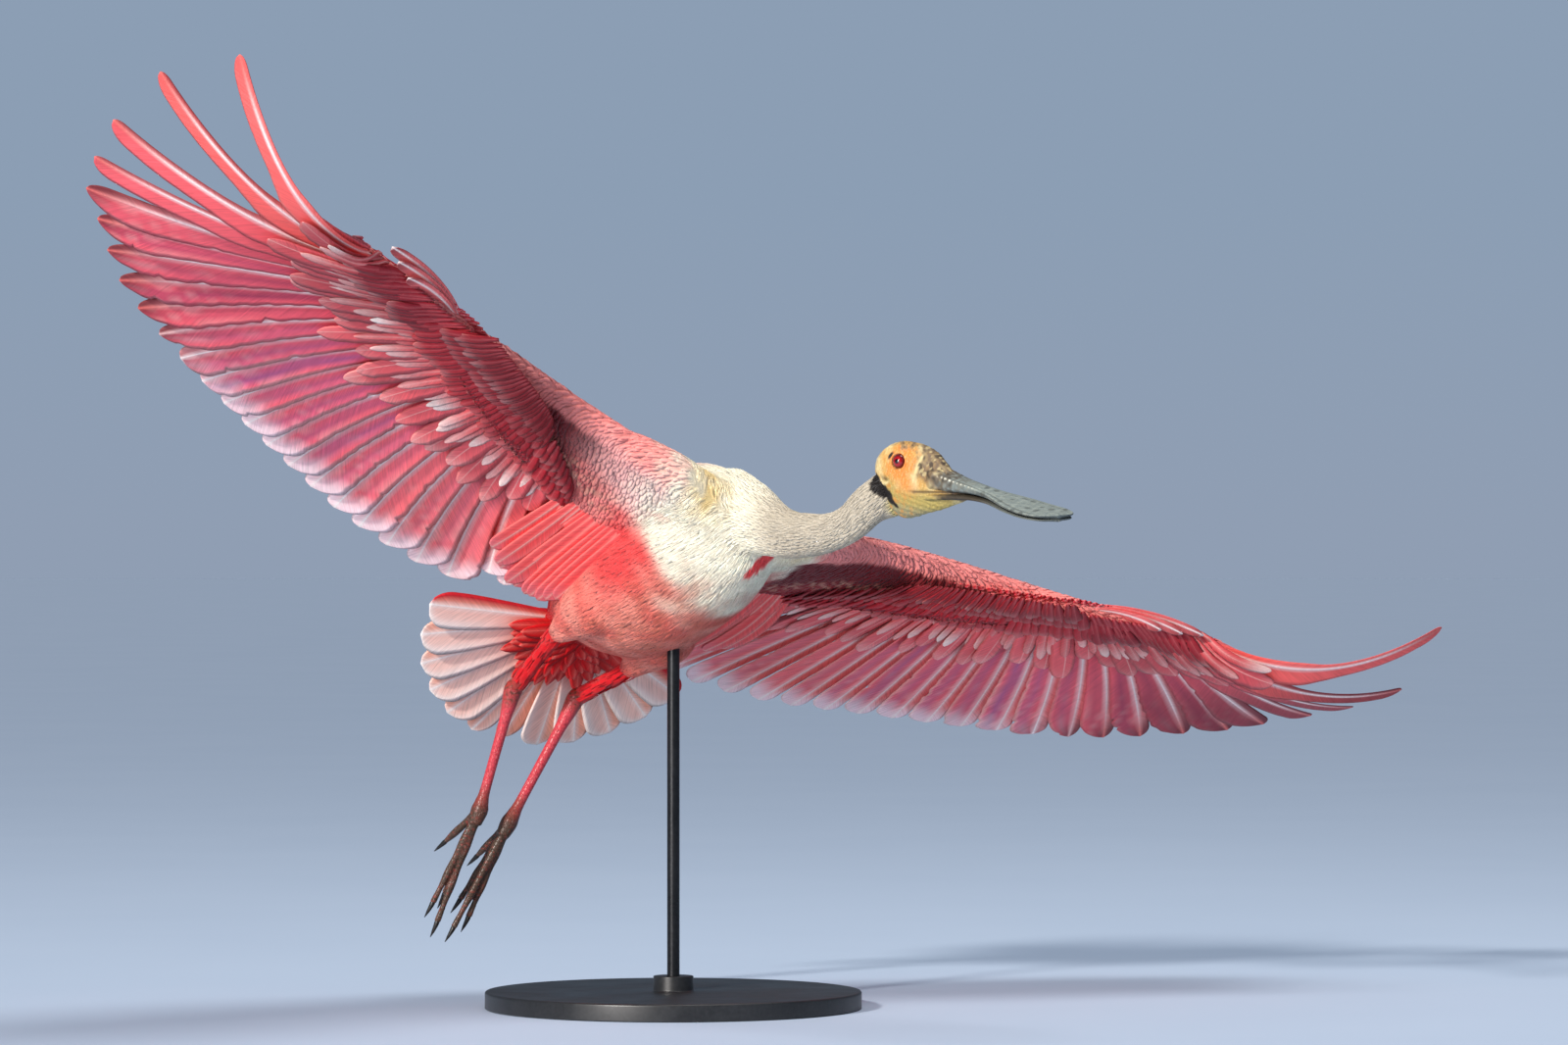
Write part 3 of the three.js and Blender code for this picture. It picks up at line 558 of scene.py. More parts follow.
def shoulderRings(side):
    # fills the crease between chest and wing, where the coat runs smoothly across
    line = through(filler["shoulder"], np.linspace(0, 3, 24)) * [1, side, 1, 1]
    return ringTube(line[:, :3], line[:, 3], line[:, 3], 32)


def buildBodySkin():
    # trunk, neck, wing arms, thighs, shoulders, throat and rump grown into one skin
    line = numbered(filler["rump"], 24)
    wide, high = np.maximum(line[:, 3:5] - filler["rumpInset"], 1).T
    throat = neckLine(90)
    gusset = numbered(filler["throat"], 20)
    parts = [
        torsoRings(),
        ringTube(throat[:, :3], throat[:, 3] - neck["inset"], throat[:, 3] - neck["inset"], 40),
        armRings(1), armRings(-1), thighRings(1), thighRings(-1), shoulderRings(1), shoulderRings(-1),
        ringTube(headToBody(gusset[:, :3]), gusset[:, 3], gusset[:, 3], 32),
        ringTube(line[:, :3], wide, high, 32),
    ]
    return fused("body", parts, 2.6, 16)


# Camera, light and floor come first so that every look uses them
camera = {
    "place": (0.08805, -5.192, 0.38653), "lens": 149.76, "sensor": 36.0,
    "horizon": (-0.002, 0.05), "farFloor": (144, 158, 179), "sky": (140, 158, 180),
    "floorRadius": 40, "floorTones": ((194, 210, 232), (188, 205, 228)),
}
lamps = {
    "keyLight": ("SUN", (-0.52, -0.77, 0.42), 3.1, (1.0, 0.95, 0.88), 5),
    "fillLight": ("AREA", (-0.55, -0.83, 0.02), 85, (1.0, 0.95, 0.92), 2.0),
    "topLight": ("AREA", (0.22, -0.12, 0.95), 60, (1.0, 0.97, 0.93), 1.6, 3.4),
}


def buildWorld():
    # sky from the floor's far tone at the horizon up to the photo's grey blue
    world = bpy.data.worlds.new("studio")
    world.use_nodes = True
    tree = world.node_tree
    place = tree.nodes.new("ShaderNodeTexCoord")
    parts = tree.nodes.new("ShaderNodeSeparateXYZ")
    ramp = tree.nodes.new("ShaderNodeValToRGB")
    low, high = ramp.color_ramp.elements
    low.position, high.position = camera["horizon"]
    low.color, high.color = (*sRgb(*camera["farFloor"]), 1), (*sRgb(*camera["sky"]), 1)
    tree.links.new(place.outputs["Generated"], parts.inputs[0])
    tree.links.new(parts.outputs["Z"], ramp.inputs[0])
    tree.links.new(ramp.outputs["Color"], tree.nodes["Background"].inputs["Color"])
    # the backdrop is seen at full strength and lights the bird at half of it
    rays = tree.nodes.new("ShaderNodeLightPath")
    strength = tree.nodes.new("ShaderNodeMapRange")
    strength.inputs["To Min"].default_value = 0.5
    tree.links.new(rays.outputs["Is Camera Ray"], strength.inputs["Value"])
    tree.links.new(strength.outputs[0], tree.nodes["Background"].inputs["Strength"])
    bpy.context.scene.world = world


def lamp(name, kind, away, energy, colour, spread, distance=4.5):
    # a sun or a round area lamp shining from the direction away towards the bird
    light = bpy.data.lights.new(name, kind)
    light.energy = energy
    light.color = colour
    if kind == "SUN":
        light.angle = np.radians(spread)
    else:
        light.shape = "DISK"
        light.size = spread
    away = unit(np.array(away, float))
    side = unit(np.cross((0, 0, 1.0), away))
    matrix = np.eye(4)
    matrix[:3, :3] = np.column_stack([side, np.cross(away, side), away])
    matrix[:3, 3] = away * distance + (0, 0, 0.4)
    holder = bpy.data.objects.new(name, light)
    holder.matrix_world = Matrix(matrix.tolist())
    bpy.context.scene.collection.objects.link(holder)


def buildStage():
    # the photo's camera, its three lamps, the sky and a wide round floor
    view = bpy.data.cameras.new("photoCamera")
    view.lens = camera["lens"]
    view.sensor_width = camera["sensor"]
    view.clip_end = 200
    holder = bpy.data.objects.new("photoCamera", view)
    holder.location = camera["place"]
    holder.rotation_euler = (np.pi / 2, 0, 0)
    bpy.context.scene.collection.objects.link(holder)
    bpy.context.scene.camera = holder
    for name, values in lamps.items():
        lamp(name, *values)
    buildWorld()
    bpy.context.scene.view_settings.view_transform = "Standard"
    radius = camera["floorRadius"]
    angle = np.linspace(0, 2 * np.pi, 64, endpoint=False)
    rim = np.stack([np.cos(angle) * radius, np.sin(angle) * radius, np.zeros(64)], 1)
    mesh = bpy.data.meshes.new("floor")
    mesh.from_pydata(rim.tolist(), [], [list(range(64))])
    floor = bpy.data.objects.new("floor", mesh)
    paint = Paint("paleFloor", 0.8)
    cloud = paint.noise(paint.objectPlace(), 3, detail=3)
    light, dark = ((*sRgb(*tone), 1) for tone in camera["floorTones"])
    paint.set(paint.shader, Base_Color=paint.mixed(cloud, light, dark))
    mesh.materials.append(paint.material)
    bpy.context.scene.collection.objects.link(floor)


buildStage()
print("stage: camera, lights and floor")


plumage = {
    "cream": sRgb(250, 242, 220), "buff": sRgb(246, 214, 142), "neck": sRgb(198, 187, 168),
    "salmon": sRgb(242, 146, 130), "belly": sRgb(238, 116, 104), "flank": sRgb(244, 50, 60),
    "vent": sRgb(206, 10, 20), "back": sRgb(248, 208, 202), "wing": sRgb(218, 38, 56),
    "lead": sRgb(252, 146, 140), "shadedHollow": sRgb(112, 24, 32),
    "carmine": sRgb(206, 24, 52), "mauve": sRgb(174, 92, 138), "shaft": sRgb(255, 236, 232),
    "paleTip": sRgb(246, 212, 200), "maroon": sRgb(104, 22, 34),
    "peach": sRgb(248, 200, 186), "white": sRgb(248, 232, 226), "orange": sRgb(240, 150, 118),
    "edge": sRgb(206, 34, 44), "rose": sRgb(242, 96, 108), "strip": sRgb(255, 150, 150),
    "brown": sRgb(176, 92, 70), "fold": sRgb(206, 150, 130), "black": sRgb(30, 25, 24),
    "throat": sRgb(190, 176, 108),
}
earBand = [[-22, -20.5, 3.0], [-17, -25, 4.6], [-11, -27.6, 4.4], [-5, -31.5, 3.4], [1, -36.5, 1.6]]


def bandGap(q):
    # distance from the black band's line in the head's side view, less the band's half width
    line = numbered(earBand, 60)
    return (np.hypot(q[..., 0, None] - line[:, 0], q[..., 2, None] - line[:, 1]) - line[:, 2]).min(-1)


def plumageTint(p):
    # markings of skin and coat alike, with painted shade under the belly, from the place in the body frame
    x, y, z = p[..., 0], p[..., 1], p[..., 2]
    noise = ripple(p, 34, 3)
    fine = ripple(p, 9, 4)
    span = np.abs(y)
    # trunk: cream chest, salmon belly, scarlet vent, whitish-pink back
    chest = smooth(28, 70, x + 10 * noise - 0.18 * (span - 30))
    tint = blend(plumage["belly"], plumage["salmon"], smooth(-0.6, 0.6, noise))
    flank = smooth(34, 58, span) * smooth(-40, 10, x) * (1 - smooth(-10, 20, z))
    tint = blend(tint, plumage["flank"], flank * 0.75)
    tint = blend(tint, plumage["cream"], chest)
    buffy = np.exp(-(((x - 113) / 15) ** 2 + ((span - 48) / 17) ** 2 + ((z + 2) / 22) ** 2))
    tint = blend(tint, plumage["buff"], np.clip(buffy * (1 + 0.5 * ripple(p, 14, 5)), 0, 0.85))
    # painted shade: the belly's underside darkened towards brown
    dusk = smooth(-44, -66, z + 8 * noise) * (1 - smooth(70, 100, x)) * (0.6 + 0.4 * fine)
    tint = blend(tint, plumage["brown"], 0.6 * dusk)
    back = smooth(8, 30, z) * (1 - smooth(60, 90, x)) * (1 - smooth(70, 90, span))
    tint = blend(tint, plumage["back"], back)
    vent = (1 - smooth(-100, -72, x + 8 * noise)) * smooth(-30, 0, -z)
    tint = blend(tint, plumage["vent"], vent)
    rump = (1 - smooth(-98, -62, x + 6 * noise)) * smooth(-4, 10, z)
    tint = blend(tint, plumage["carmine"], 0.85 * rump)
    step = np.linspace(0, 1, 9)
    streak = np.array([104, 21, -32]) + step[:, None] * np.array([-10, -7, -14])
    tuft = (np.linalg.norm(p[..., None, :] - streak, axis=-1) - 7.8 + 4.6 * step).min(-1)
    tint = blend(tint, plumage["flank"], 0.95 * (1 - smooth(-1.0, 1.5, tuft + 1.3 * ripple(p, 5, 9))))
    # neck: grey-white, a little yellow towards the head
    onNeck = smooth(118, 160, x)
    tint = blend(tint, plumage["neck"], onNeck)
    q = (p - np.array(pose["headPlace"])) @ bodyTurn.T @ headTurn
    nearHead = smooth(200, 220, x)
    throat = smooth(-11, -4, q[..., 0]) * smooth(-33, -39, q[..., 2]) * nearHead
    tint = blend(tint, plumage["throat"], throat)
    band = 1 - smooth(-0.4, 1.2, bandGap(q) + ripple(p, 5, 12))
    tint = blend(tint, plumage["black"], band * nearHead * smooth(4, 8, np.abs(q[..., 1])))
    return tint * (1 + 0.07 * fine[..., None])


def armEdges(span):
    # how far forward the arm's front and rear lines lie at each distance from the middle of the body
    keys = np.array(arm["stations"], float)
    return np.interp(span, keys[:, 1], keys[:, 0]), np.interp(span, keys[:, 4], keys[:, 3])


def armTint(p, upper):
    # wing arm: pale leading edge, painted shade in the hollow behind the forearm below, carmine shoulder band
    # above
    x, span = p[..., 0], np.abs(p[..., 1])
    front, rear = armEdges(span)
    t = (front - x) / (front - rear)
    noise = ripple(p, 14, 6)
    hand = smooth(290, 330, span)
    # painted shade: the hollow behind the leading edge is darkened to deep crimson over the whole left wing,
    # and on the right wing only away from the body
    far = np.maximum(smooth(80, 170, span), p[..., 1] > 0)
    hollowShadeShare = smooth(0.17, 0.24, t + 0.02 * noise) * (0.12 + 0.88 * far) * (1 - 0.2 * hand)
    below = blend(plumage["lead"], plumage["shadedHollow"], hollowShadeShare)
    below = blend(below, plumage["back"], (1 - far) * smooth(0.05, 0.15, t) * (1 - smooth(0.3, 0.5, t)) * 0.6)
    fold = np.exp(-((t - 0.56 - 0.03 * noise) / 0.07) ** 2)
    # coverts behind the fold: their own crimson, deepened by painted shade where the hollow is shaded
    below = blend(below, sRgb(150, 24, 38), smooth(0.45, 0.6, t) * far)
    below = blend(below, plumage["fold"], fold * smooth(-0.5, 0.7, ripple(p, 8, 8)) * 0.8)
    above = blend(plumage["lead"], plumage["carmine"], smooth(0.1, 0.3, t) * (1 - smooth(0.75, 1.0, t)))
    tint = blend(below, above, upper)
    nearBody = 1 - smooth(54, np.where(p[..., 1] > 0, 78, 112), span + 8 * noise)
    return blend(tint, plumageTint(p), nearBody) * (1 + 0.08 * noise[..., None])


bodySkinPoints, bodySkinFaces = buildBodySkin()
print("skin:", len(bodySkinPoints), "points")


def vertexNormals(points, faceSets):
    # area-weighted mean of the faces round each vertex
    normals = np.zeros_like(points)
    for faces in faceSets:
        corner = points[faces]
        direction = np.cross(corner[:, 2] - corner[:, 0], corner[:, -1] - corner[:, 1])
        for k in range(faces.shape[1]):
            np.add.at(normals, faces[:, k], direction)
    return unit(normals)


bodySkinFaces = rightSideOut(bodySkinPoints, bodySkinFaces)
bodySkinNormals = vertexNormals(bodySkinPoints, bodySkinFaces)


def onArm(p):
    # share of 0..1 by which a point belongs to a wing arm
    return smooth(62, 74, np.abs(p[..., 1]))


def coatTint(p, normals):
    # markings of trunk and neck, and those of the wing arms beyond the armpit
    upper = smooth(-0.25, 0.25, normals[..., 2])
    return blend(plumageTint(p), armTint(p, upper), onArm(p))


bodySkinTint = coatTint(bodySkinPoints, bodySkinNormals)


head = {
    "stations": [
        [-33, 4, -8, -16], [-28, 10, -1, -26], [-20, 14.5, 6, -38], [-10, 16.6, 10.4, -45],
        [2, 16.8, 12.2, -47.2], [13, 15.6, 12.6, -44], [25, 13.4, 10.4, -38.5], [38, 10.6, 4, -33],
        [50, 8.6, -3, -27], [62, 5.6, -10, -20.8], [67, 2.4, -13, -18],
    ],
    "gape": [[20, 45, 75], [-22.2, -16.8, -11.3]],
    "eyeRadius": 6.5, "eyeOut": 9.7, "eyeLow": -2.9, "lidLean": 8.0, "eyeAhead": 0.26,
}
headColours = {
    "buff": sRgb(210, 162, 88), "orange": sRgb(234, 136, 56), "yellowGreen": sRgb(180, 160, 90),
    "ochre": sRgb(206, 144, 70), "pale": sRgb(226, 204, 148), "greyBrown": sRgb(112, 92, 72),
    "darkBrown": sRgb(52, 40, 32), "black": sRgb(24, 20, 19), "bluish": sRgb(146, 146, 120),
    "nape": sRgb(188, 176, 150),
}


def eyeDistance(p, side):
    # distance from the eye's axis, and how far out along it
    lean = np.radians(head["lidLean"])
    axis = np.array([head["eyeAhead"], side * np.cos(lean), np.sin(lean)])
    axis = axis / np.linalg.norm(axis)
    away = p - np.array([0, side * head["eyeOut"], head["eyeLow"]])
    out = away @ axis
    flat = away - out[:, None] * axis
    flat[:, 0] /= 1.2
    return np.linalg.norm(flat, axis=1), out, axis


def headTint(p):
    # markings of the bald head from the place in the head's frame
    x, y, z = p.T
    n1, n2, n3 = ripple(p, 16, 21), ripple(p, 6, 22), ripple(p, 3, 23)
    side = np.sign(y) + (y == 0)
    tint = blend(headColours["buff"], headColours["pale"], smooth(-0.4, 0.8, n1))
    low = smooth(-14, -26, z + 3 * n1)
    tint = blend(tint, headColours["yellowGreen"], low)
    tint = blend(tint, headColours["bluish"], smooth(-30, -42, z) * 0.75)
    tint = blend(tint, headColours["ochre"], low * smooth(0.2, 0.9, n2) * smooth(30, 0, x) * 0.8)
    tint = blend(tint, headColours["orange"], np.exp(-(((x - 13) / 9) ** 2 + ((z + 17) / 7) ** 2)) * 0.85)
    far = np.hypot((x - 3.5) / 1.15, z + 3) - 2
    glow = (1 - smooth(7, 15, far + 2.2 * n2)) * smooth(4, 9, np.abs(y))
    tint = blend(tint, headColours["orange"], np.clip(glow * (0.95 + 0.3 * n3), 0, 1))
    tint = blend(tint, headColours["ochre"], 0.5 * smooth(0.1, 0.9, ripple(p, 3.4, 27)) * smooth(30, 10, x))
    tint = blend(tint, headColours["pale"], 0.45 * smooth(0.3, 0.9, ripple(p, 2.2, 25)) * smooth(-34, -10, z))
    # pale ring before the face, grey-brown mottled forehead in front of it
    front = smooth(15, 24, x + 1.5 * n2 + 0.1 * (z + 5)) * smooth(-12, -5, z + 0.25 * (x - 20))
    tint = blend(tint, headColours["greyBrown"], front * (0.85 + 0.15 * np.clip(n3, -1, 1)))
    ring = np.exp(-((x - 20.5 - 0.1 * (z + 5)) / 2.0) ** 2) * smooth(-17, -12, z) * smooth(9, 5, z)
    tint = blend(tint, headColours["pale"], ring * 0.9)
    tint = blend(tint, headColours["darkBrown"], front * smooth(0.0, 0.7, n2) * 0.8)
    tint = blend(tint, headColours["pale"], front * smooth(0.35, 0.8, ripple(p, 4, 24)) * 0.55)
    crown = smooth(5, 10, z + 1.5 * n1) * smooth(26, 14, x)
    tint = blend(tint, headColours["greyBrown"], crown * (0.25 + 0.55 * smooth(-0.3, 0.7, n2)))
    tint = blend(tint, headColours["darkBrown"], crown * smooth(0.75, 1.1, n3) * 0.8)
    # spot behind the eye and the black band from ear to throat
    spot = np.exp(-((((x + 9.2) / 2.0) ** 2 + ((z + 0.2 - 0.5 * (x + 9.2)) / 2.8) ** 2)) ** 2)
    tint = blend(tint, headColours["black"], np.minimum(1.3 * spot, 1) * (np.abs(y) > 5))
    shadow = np.exp(-(((x + 10) / 4.5) ** 2 + ((z + 18.6) / 1.8) ** 2))
    tint = blend(tint, headColours["darkBrown"], 0.75 * shadow)
    tint = blend(tint, headColours["black"], 1 - smooth(-0.6, 1.4, bandGap(p) + 1.1 * n2))
    crescent = np.exp(-(((x + 10.5) / 5.5) ** 4 + ((z + 22.2 - 0.075 * (x + 11) ** 2) / 1.2) ** 2))
    tint = blend(tint, headColours["pale"], np.minimum(1.3 * crescent, 1))
    gape = np.exp(-(z - np.interp(x, *head["gape"])) ** 2) * smooth(14, 21, x)
    tint = blend(tint, headColours["darkBrown"], 0.85 * gape)
    back = 1 - smooth(-31, -24, x - 0.2 * (z + 15))
    tint = blend(tint, headColours["nape"], back)
    rim = np.minimum(*(eyeDistance(p, s)[0] + 40 * (side != s) for s in (1, -1)))
    tint = blend(tint, headColours["darkBrown"], (1 - smooth(5.3, 6.0, rim)) * 0.9)
    return np.clip(tint * (1 + 0.06 * n3[:, None]), 0, 1)


def buildHead(rows=210, columns=150):
    # egg rings along the culmen's line, pushed in at the eyes and raised in lids, creases and warts
    x = np.linspace(-33, 67, rows)
    wide, top, bottom = through(head["stations"], x).T
    angle = np.linspace(0, 2 * np.pi, columns, endpoint=False)[None]
    rise = np.sin(angle)
    lean = 1 - 0.09 * (1 - rise)
    y = wide[:, None] * lean * np.cos(angle)
    z = ((top + bottom) / 2)[:, None] + ((top - bottom) / 2)[:, None] * rise
    points = np.stack([np.repeat(x[:, None], columns, 1), y, z], -1).reshape(-1, 3)
    faces = rightSideOut(points, stripFaces(1, rows, columns))
    normals = vertexNormals(points, faces)
    px, _, pz = points.T
    lift = 0.28 * ripple(points, 5.5, 31) * smooth(14, 26, px) * smooth(-14, -6, pz)
    lift += 0.14 * ripple(points, 2.6, 32)
    pleat = np.sin(1.5 * pz + 0.16 * px + 1.6 * ripple(points, 20, 33))
    lift += 0.2 * pleat * smooth(-18, -26, pz) * smooth(-22, -10, px) * smooth(50, 34, px)
    gapeLine = np.interp(px, *head["gape"])
    lift -= 1.1 * np.exp(-(pz - gapeLine) ** 2) * smooth(15, 23, px)
    lift += 0.6 * np.exp(-((pz - gapeLine + 2.6) / 1.4) ** 2) * smooth(12, 20, px)
    ear = np.exp(-(((px + 10) / 4.0) ** 2 + ((pz + 18.8) / 2.0) ** 2))
    lift -= 0.9 * ear
    moved = points + normals * lift[:, None]
    for side in (1, -1):
        near, out, axis = eyeDistance(points, side)
        here = out > 0
        ridge = 1.0 * np.exp(-((near - 6.6) / 0.8) ** 2) - 0.5 * np.exp(-((near - 8.3) / 0.7) ** 2)
        ridge += 0.35 * np.exp(-((near - 9.5) / 0.7) ** 2) - 0.2 * np.exp(-((near - 11) / 0.7) ** 2)
        socket = -4.2 * (1 - smooth(5.0, 5.7, near))
        moved += axis * (np.where(here, ridge + socket, 0))[:, None]
    tint = headTint(points)
    return headToBody(moved), faces, tint


bill = {
    "widths": [
        [14, 13.4], [30, 12.6], [50, 11.2], [75, 10.4], [95, 12], [110, 16.8], [124, 21.8], [138, 25],
        [149, 25.8], [158, 22.5], [163, 16.5], [166, 5],
    ],
    "crown": [[21, 0.2], [38, 0.2], [60, -2.4], [95, -4], [115, -4.8], [135, -6], [166, -6]],
    "edge": [[21, -22.5], [45, -17], [75, -11.5], [100, -9.6], [130, -9.4], [166, -8.8]],
    "sole": [[21, -30], [45, -23.5], [75, -16.4], [100, -13.6], [130, -12.6], [166, -11.4]],
    "base": 21, "tip": 166, "gape": 0.5,
}
billColours = {
    "horn": sRgb(134, 144, 140), "pale": sRgb(178, 184, 170), "dark": sRgb(44, 42, 38),
    "brown": sRgb(86, 74, 60), "underside": sRgb(70, 62, 50), "white": sRgb(240, 236, 218),
}


def billRings(lower, rows=200, columns=72):
    # flattened ovals between the crown or cutting edge and the sole, closing at a rounded tip
    t = np.linspace(0, 1, rows)
    x = bill["base"] + (bill["tip"] - bill["base"]) * (1 - (1 - t) ** 1.7)
    wide = through(bill["widths"], x) * (0.94 if lower else 1.0)
    wide = wide * np.sqrt(np.clip((bill["tip"] + 0.6 - x) / 3.2, 0.02, 1)) * (0.6 + 0.4 * smooth(21, 37, x))
    crown = through(bill["edge"] if lower else bill["crown"], x) - (bill["gape"] if lower else 0)
    sole = through(bill["sole"] if lower else bill["edge"], x)
    angle = np.linspace(0, 2 * np.pi, columns, endpoint=False)[None]
    flat = np.abs(np.sin(angle)) ** 0.6 * np.sign(np.sin(angle))
    y = wide[:, None] * np.cos(angle)
    z = ((crown + sole) / 2)[:, None] + ((crown - sole) / 2)[:, None] * flat
    share = np.cos(angle) * np.ones_like(x)[:, None]
    top = np.maximum(np.sin(angle), 0) * np.ones_like(x)[:, None]
    return np.stack([np.repeat(x[:, None], columns, 1), y, z], -1), share, top


def buildBill(lower):
    # grooves beside the edges, a pebbled ridge at the base's sides and a low nail at the tip
    rings, share, top = billRings(lower)
    points = rings.reshape(-1, 3)
    faces = rightSideOut(points, stripFaces(1, *rings.shape[:2]))
    normals = vertexNormals(points, faces)
    x, y, _ = points.T
    side, up = np.abs(share).ravel(), top.ravel()
    above = smooth(0.05, 0.3, up)
    lift = np.zeros(len(x))
    n1, n2 = ripple(points, 5, 41 + lower), ripple(points, 2.4, 43 + lower)
    c = billColours
    if lower:
        # lower bill: its own brownish horn darkened with painted shade, pale near the base
        tint = blend(c["underside"], c["pale"], smooth(40, 20, x) * 0.8)
        tint = blend(tint, c["horn"], smooth(80, 130, x) * 0.5)
        groove = np.exp(-((np.abs(y) - 0.55 * through(bill["widths"], x)) / 1.0) ** 2) * (1 - above)
        lift -= 0.35 * groove
    else:
        tint = blend(c["horn"], c["pale"], 0.35 * smooth(-0.3, 0.8, n1))
        tint = blend(tint, c["brown"], smooth(88, 46, x) * 0.9 * smooth(-1.2, 0.3, n1))
        groove = np.exp(-((side - 0.78) / 0.045) ** 2) * above * smooth(30, 48, x) * smooth(163, 150, x)
        lift -= 0.5 * groove
        tint = blend(tint, c["dark"], 0.55 * groove)
        bars = smooth(0.2, 0.8, np.sin(x * 1.15 + 1.5 * n1)) * smooth(86, 40, x) * above
        lift += 0.12 * bars + 0.12 * n2 * smooth(90, 40, x)
        pebbles = smooth(0.35, 0.85, np.sin(x * 1.5) + 0.5 * n2) * np.exp(-((side - 0.93) / 0.03) ** 2)
        pebbles = pebbles * smooth(30, 40, x) * smooth(92, 72, x) * above
        lift += 0.3 * pebbles
        tint = blend(tint, c["white"], np.clip(1.1 * pebbles, 0, 0.95))
        tint = blend(tint, c["dark"], smooth(0.4, 0.95, n1) * smooth(70, 50, x) * 0.7)
        nostril = np.exp(-(((x - 46) / 4.5) ** 2 + ((np.abs(y) - 5.0) / 0.8) ** 2) * 1.2) * above
        lift -= 1.5 * nostril
        tint = blend(tint, c["dark"], np.minimum(1.6 * nostril, 1))
        tint = blend(tint, c["dark"], 0.5 * smooth(0.55, 1.0, ripple(points, 7, 47)) * smooth(60, 90, x))
        nail = np.exp(-(((x - 163) / 3.0) ** 2 + (y / 5.0) ** 2)) * above
        lift += 0.45 * nail
        rim = smooth(0.9, 0.985, side) * above * smooth(86, 100, x)
        lift += 0.3 * rim
    face = 1 - smooth(30, 56, x + 5 * n1)
    tint = blend(tint, headTint(points), face * (0.9 if lower else 0.8))
    # painted shade: the upper bill's underside darkened towards the spoon
    under = (1 - above) * (0 if lower else 1)
    tint = blend(tint, c["dark"], 0.6 * under * smooth(60, 90, x))
    moved = points + normals * lift[:, None]
    return headToBody(moved), faces, np.clip(tint * (1 + 0.05 * n2[:, None]), 0, 1)


def buildEye(side, rows=48, columns=64):
    # ball about the eye's axis with a clear front bulge; tint by distance from the axis
    polar = np.linspace(0.02, np.pi - 0.02, rows)[:, None]
    angle = np.linspace(0, 2 * np.pi, columns, endpoint=False)[None]
    radius = head["eyeRadius"] * (1 + 0.02 * np.exp(-(polar / 0.5) ** 2))
    lean = np.radians(head["lidLean"])
    axis = unit(np.array([head["eyeAhead"], side * np.cos(lean), np.sin(lean)]))
    first = unit(np.cross(axis, (0, 0, 1.0)))
    second = np.cross(axis, first)
    ring = (np.cos(angle)[..., None] * first + np.sin(angle)[..., None] * second)
    points = radius[..., None] * (np.cos(polar)[..., None] * axis + np.sin(polar)[..., None] * ring)
    points = points.reshape(-1, 3) + np.array([0, side * head["eyeOut"], head["eyeLow"]])
    away = np.repeat(np.sin(polar) * head["eyeRadius"], columns, 1).ravel()
    away = np.where(np.repeat(polar, columns, 1).ravel() > np.pi / 2, 9, away)
    iris = blend(sRgb(158, 6, 9), sRgb(88, 3, 6), smooth(2.6, 5.0, away))
    tint = blend(iris, sRgb(16, 3, 4), 1 - smooth(1.6, 2.1, away))
    tint = blend(tint, sRgb(50, 6, 8), smooth(5.5, 6.0, away))
    return headToBody(points), stripFaces(1, rows, columns), tint


legColours = {
    "shank": sRgb(190, 34, 40), "ankle": sRgb(138, 56, 40), "tarsus": sRgb(208, 62, 74),
    "knuckle": sRgb(150, 60, 52), "foot": sRgb(78, 56, 42), "web": sRgb(98, 60, 46),
    "dark": sRgb(40, 30, 24),
}


def toeEnd(name, toe):
    # tip of a toe: the middle toe's line, turned sideways and back by the toe's own offsets
    leg = legs[name]
    joint, tip = np.array(leg["joint"], float), np.array(leg["tip"], float)
    side = 1 if name == "left" else -1
    along = tip - joint
    across = np.array([0, side, 0.0]) - along * (side * along[1] / (along @ along))
    across = unit(across)
    behind = unit(np.cross(along, across))
    behind = -behind if behind[0] > 0 else behind
    sideways, back, reach = toes[toe]
    return joint, joint + along * reach + across * sideways + behind * back


# from bone end to bone end: the share of the way between them and the leg's radius there
legThickness = [
    ("root", "shin", 0, 6.0), ("shin", "ankle", 0, 5.7), ("shin", "ankle", 0.5, 4.9),
    ("shin", "ankle", 0.86, 6.0), ("ankle", "joint", 0, 7.6), ("ankle", "joint", 0.12, 6.2),
    ("ankle", "joint", 0.3, 4.5), ("ankle", "joint", 0.8, 4.2), ("ankle", "joint", 0.93, 5.6),
    ("joint", "tip", 0, 7.0), ("joint", "tip", 0.12, 5.6),
]


def legParts(name):
    # tubes of shank, ankle, tarsus, foot and toes as rings round their bones
    leg = {key: np.array(value, float) for key, value in legs[name].items()}
    bones = [
        [*(leg[start] + (leg[end] - leg[start]) * share), radius]
        for start, end, share, radius in legThickness
    ]
    line = numbered(bones, 150)
    parts = [ringTube(line[:, :3], line[:, 3], line[:, 3], 32)]
    knob = leg["ankle"] + np.array([-1.5, 0, 1.0])
    swell = 6.6 * np.sqrt(np.clip(1 - np.linspace(-1, 1, 12) ** 2, 0.03, 1))
    parts.append(ringTube(np.linspace(knob - [0, 6.5, 0], knob + [0, 6.5, 0], 12), swell, swell, 24))
    for toe in toes:
        start, end = toeEnd(name, toe)
        t = np.linspace(0, 1, 60)
        pads = 0.35 * np.cos(t * (3 if toe != "hind" else 1.4) * 2 * np.pi)
        radius = np.interp(t, [0, 0.4, 0.8, 1], [4.4, 3.5, 2.8, 2.3]) + pads
        path = start + (end - start) * t[:, None]
        parts.append(ringTube(path, radius, radius * 0.92, 20))
    for toe in ("outer", "inner"):
        start, end = toeEnd(name, toe)
        _, middle = toeEnd(name, "middle")
        t = np.linspace(0.02, 0.36, 16)[:, None]
        path = start + ((end + middle) / 2 - start) * t
        parts.append(ringTube(path, 3.2 * (1 - t[:, 0]), 1.6 * (1 - t[:, 0]), 16))
    return parts


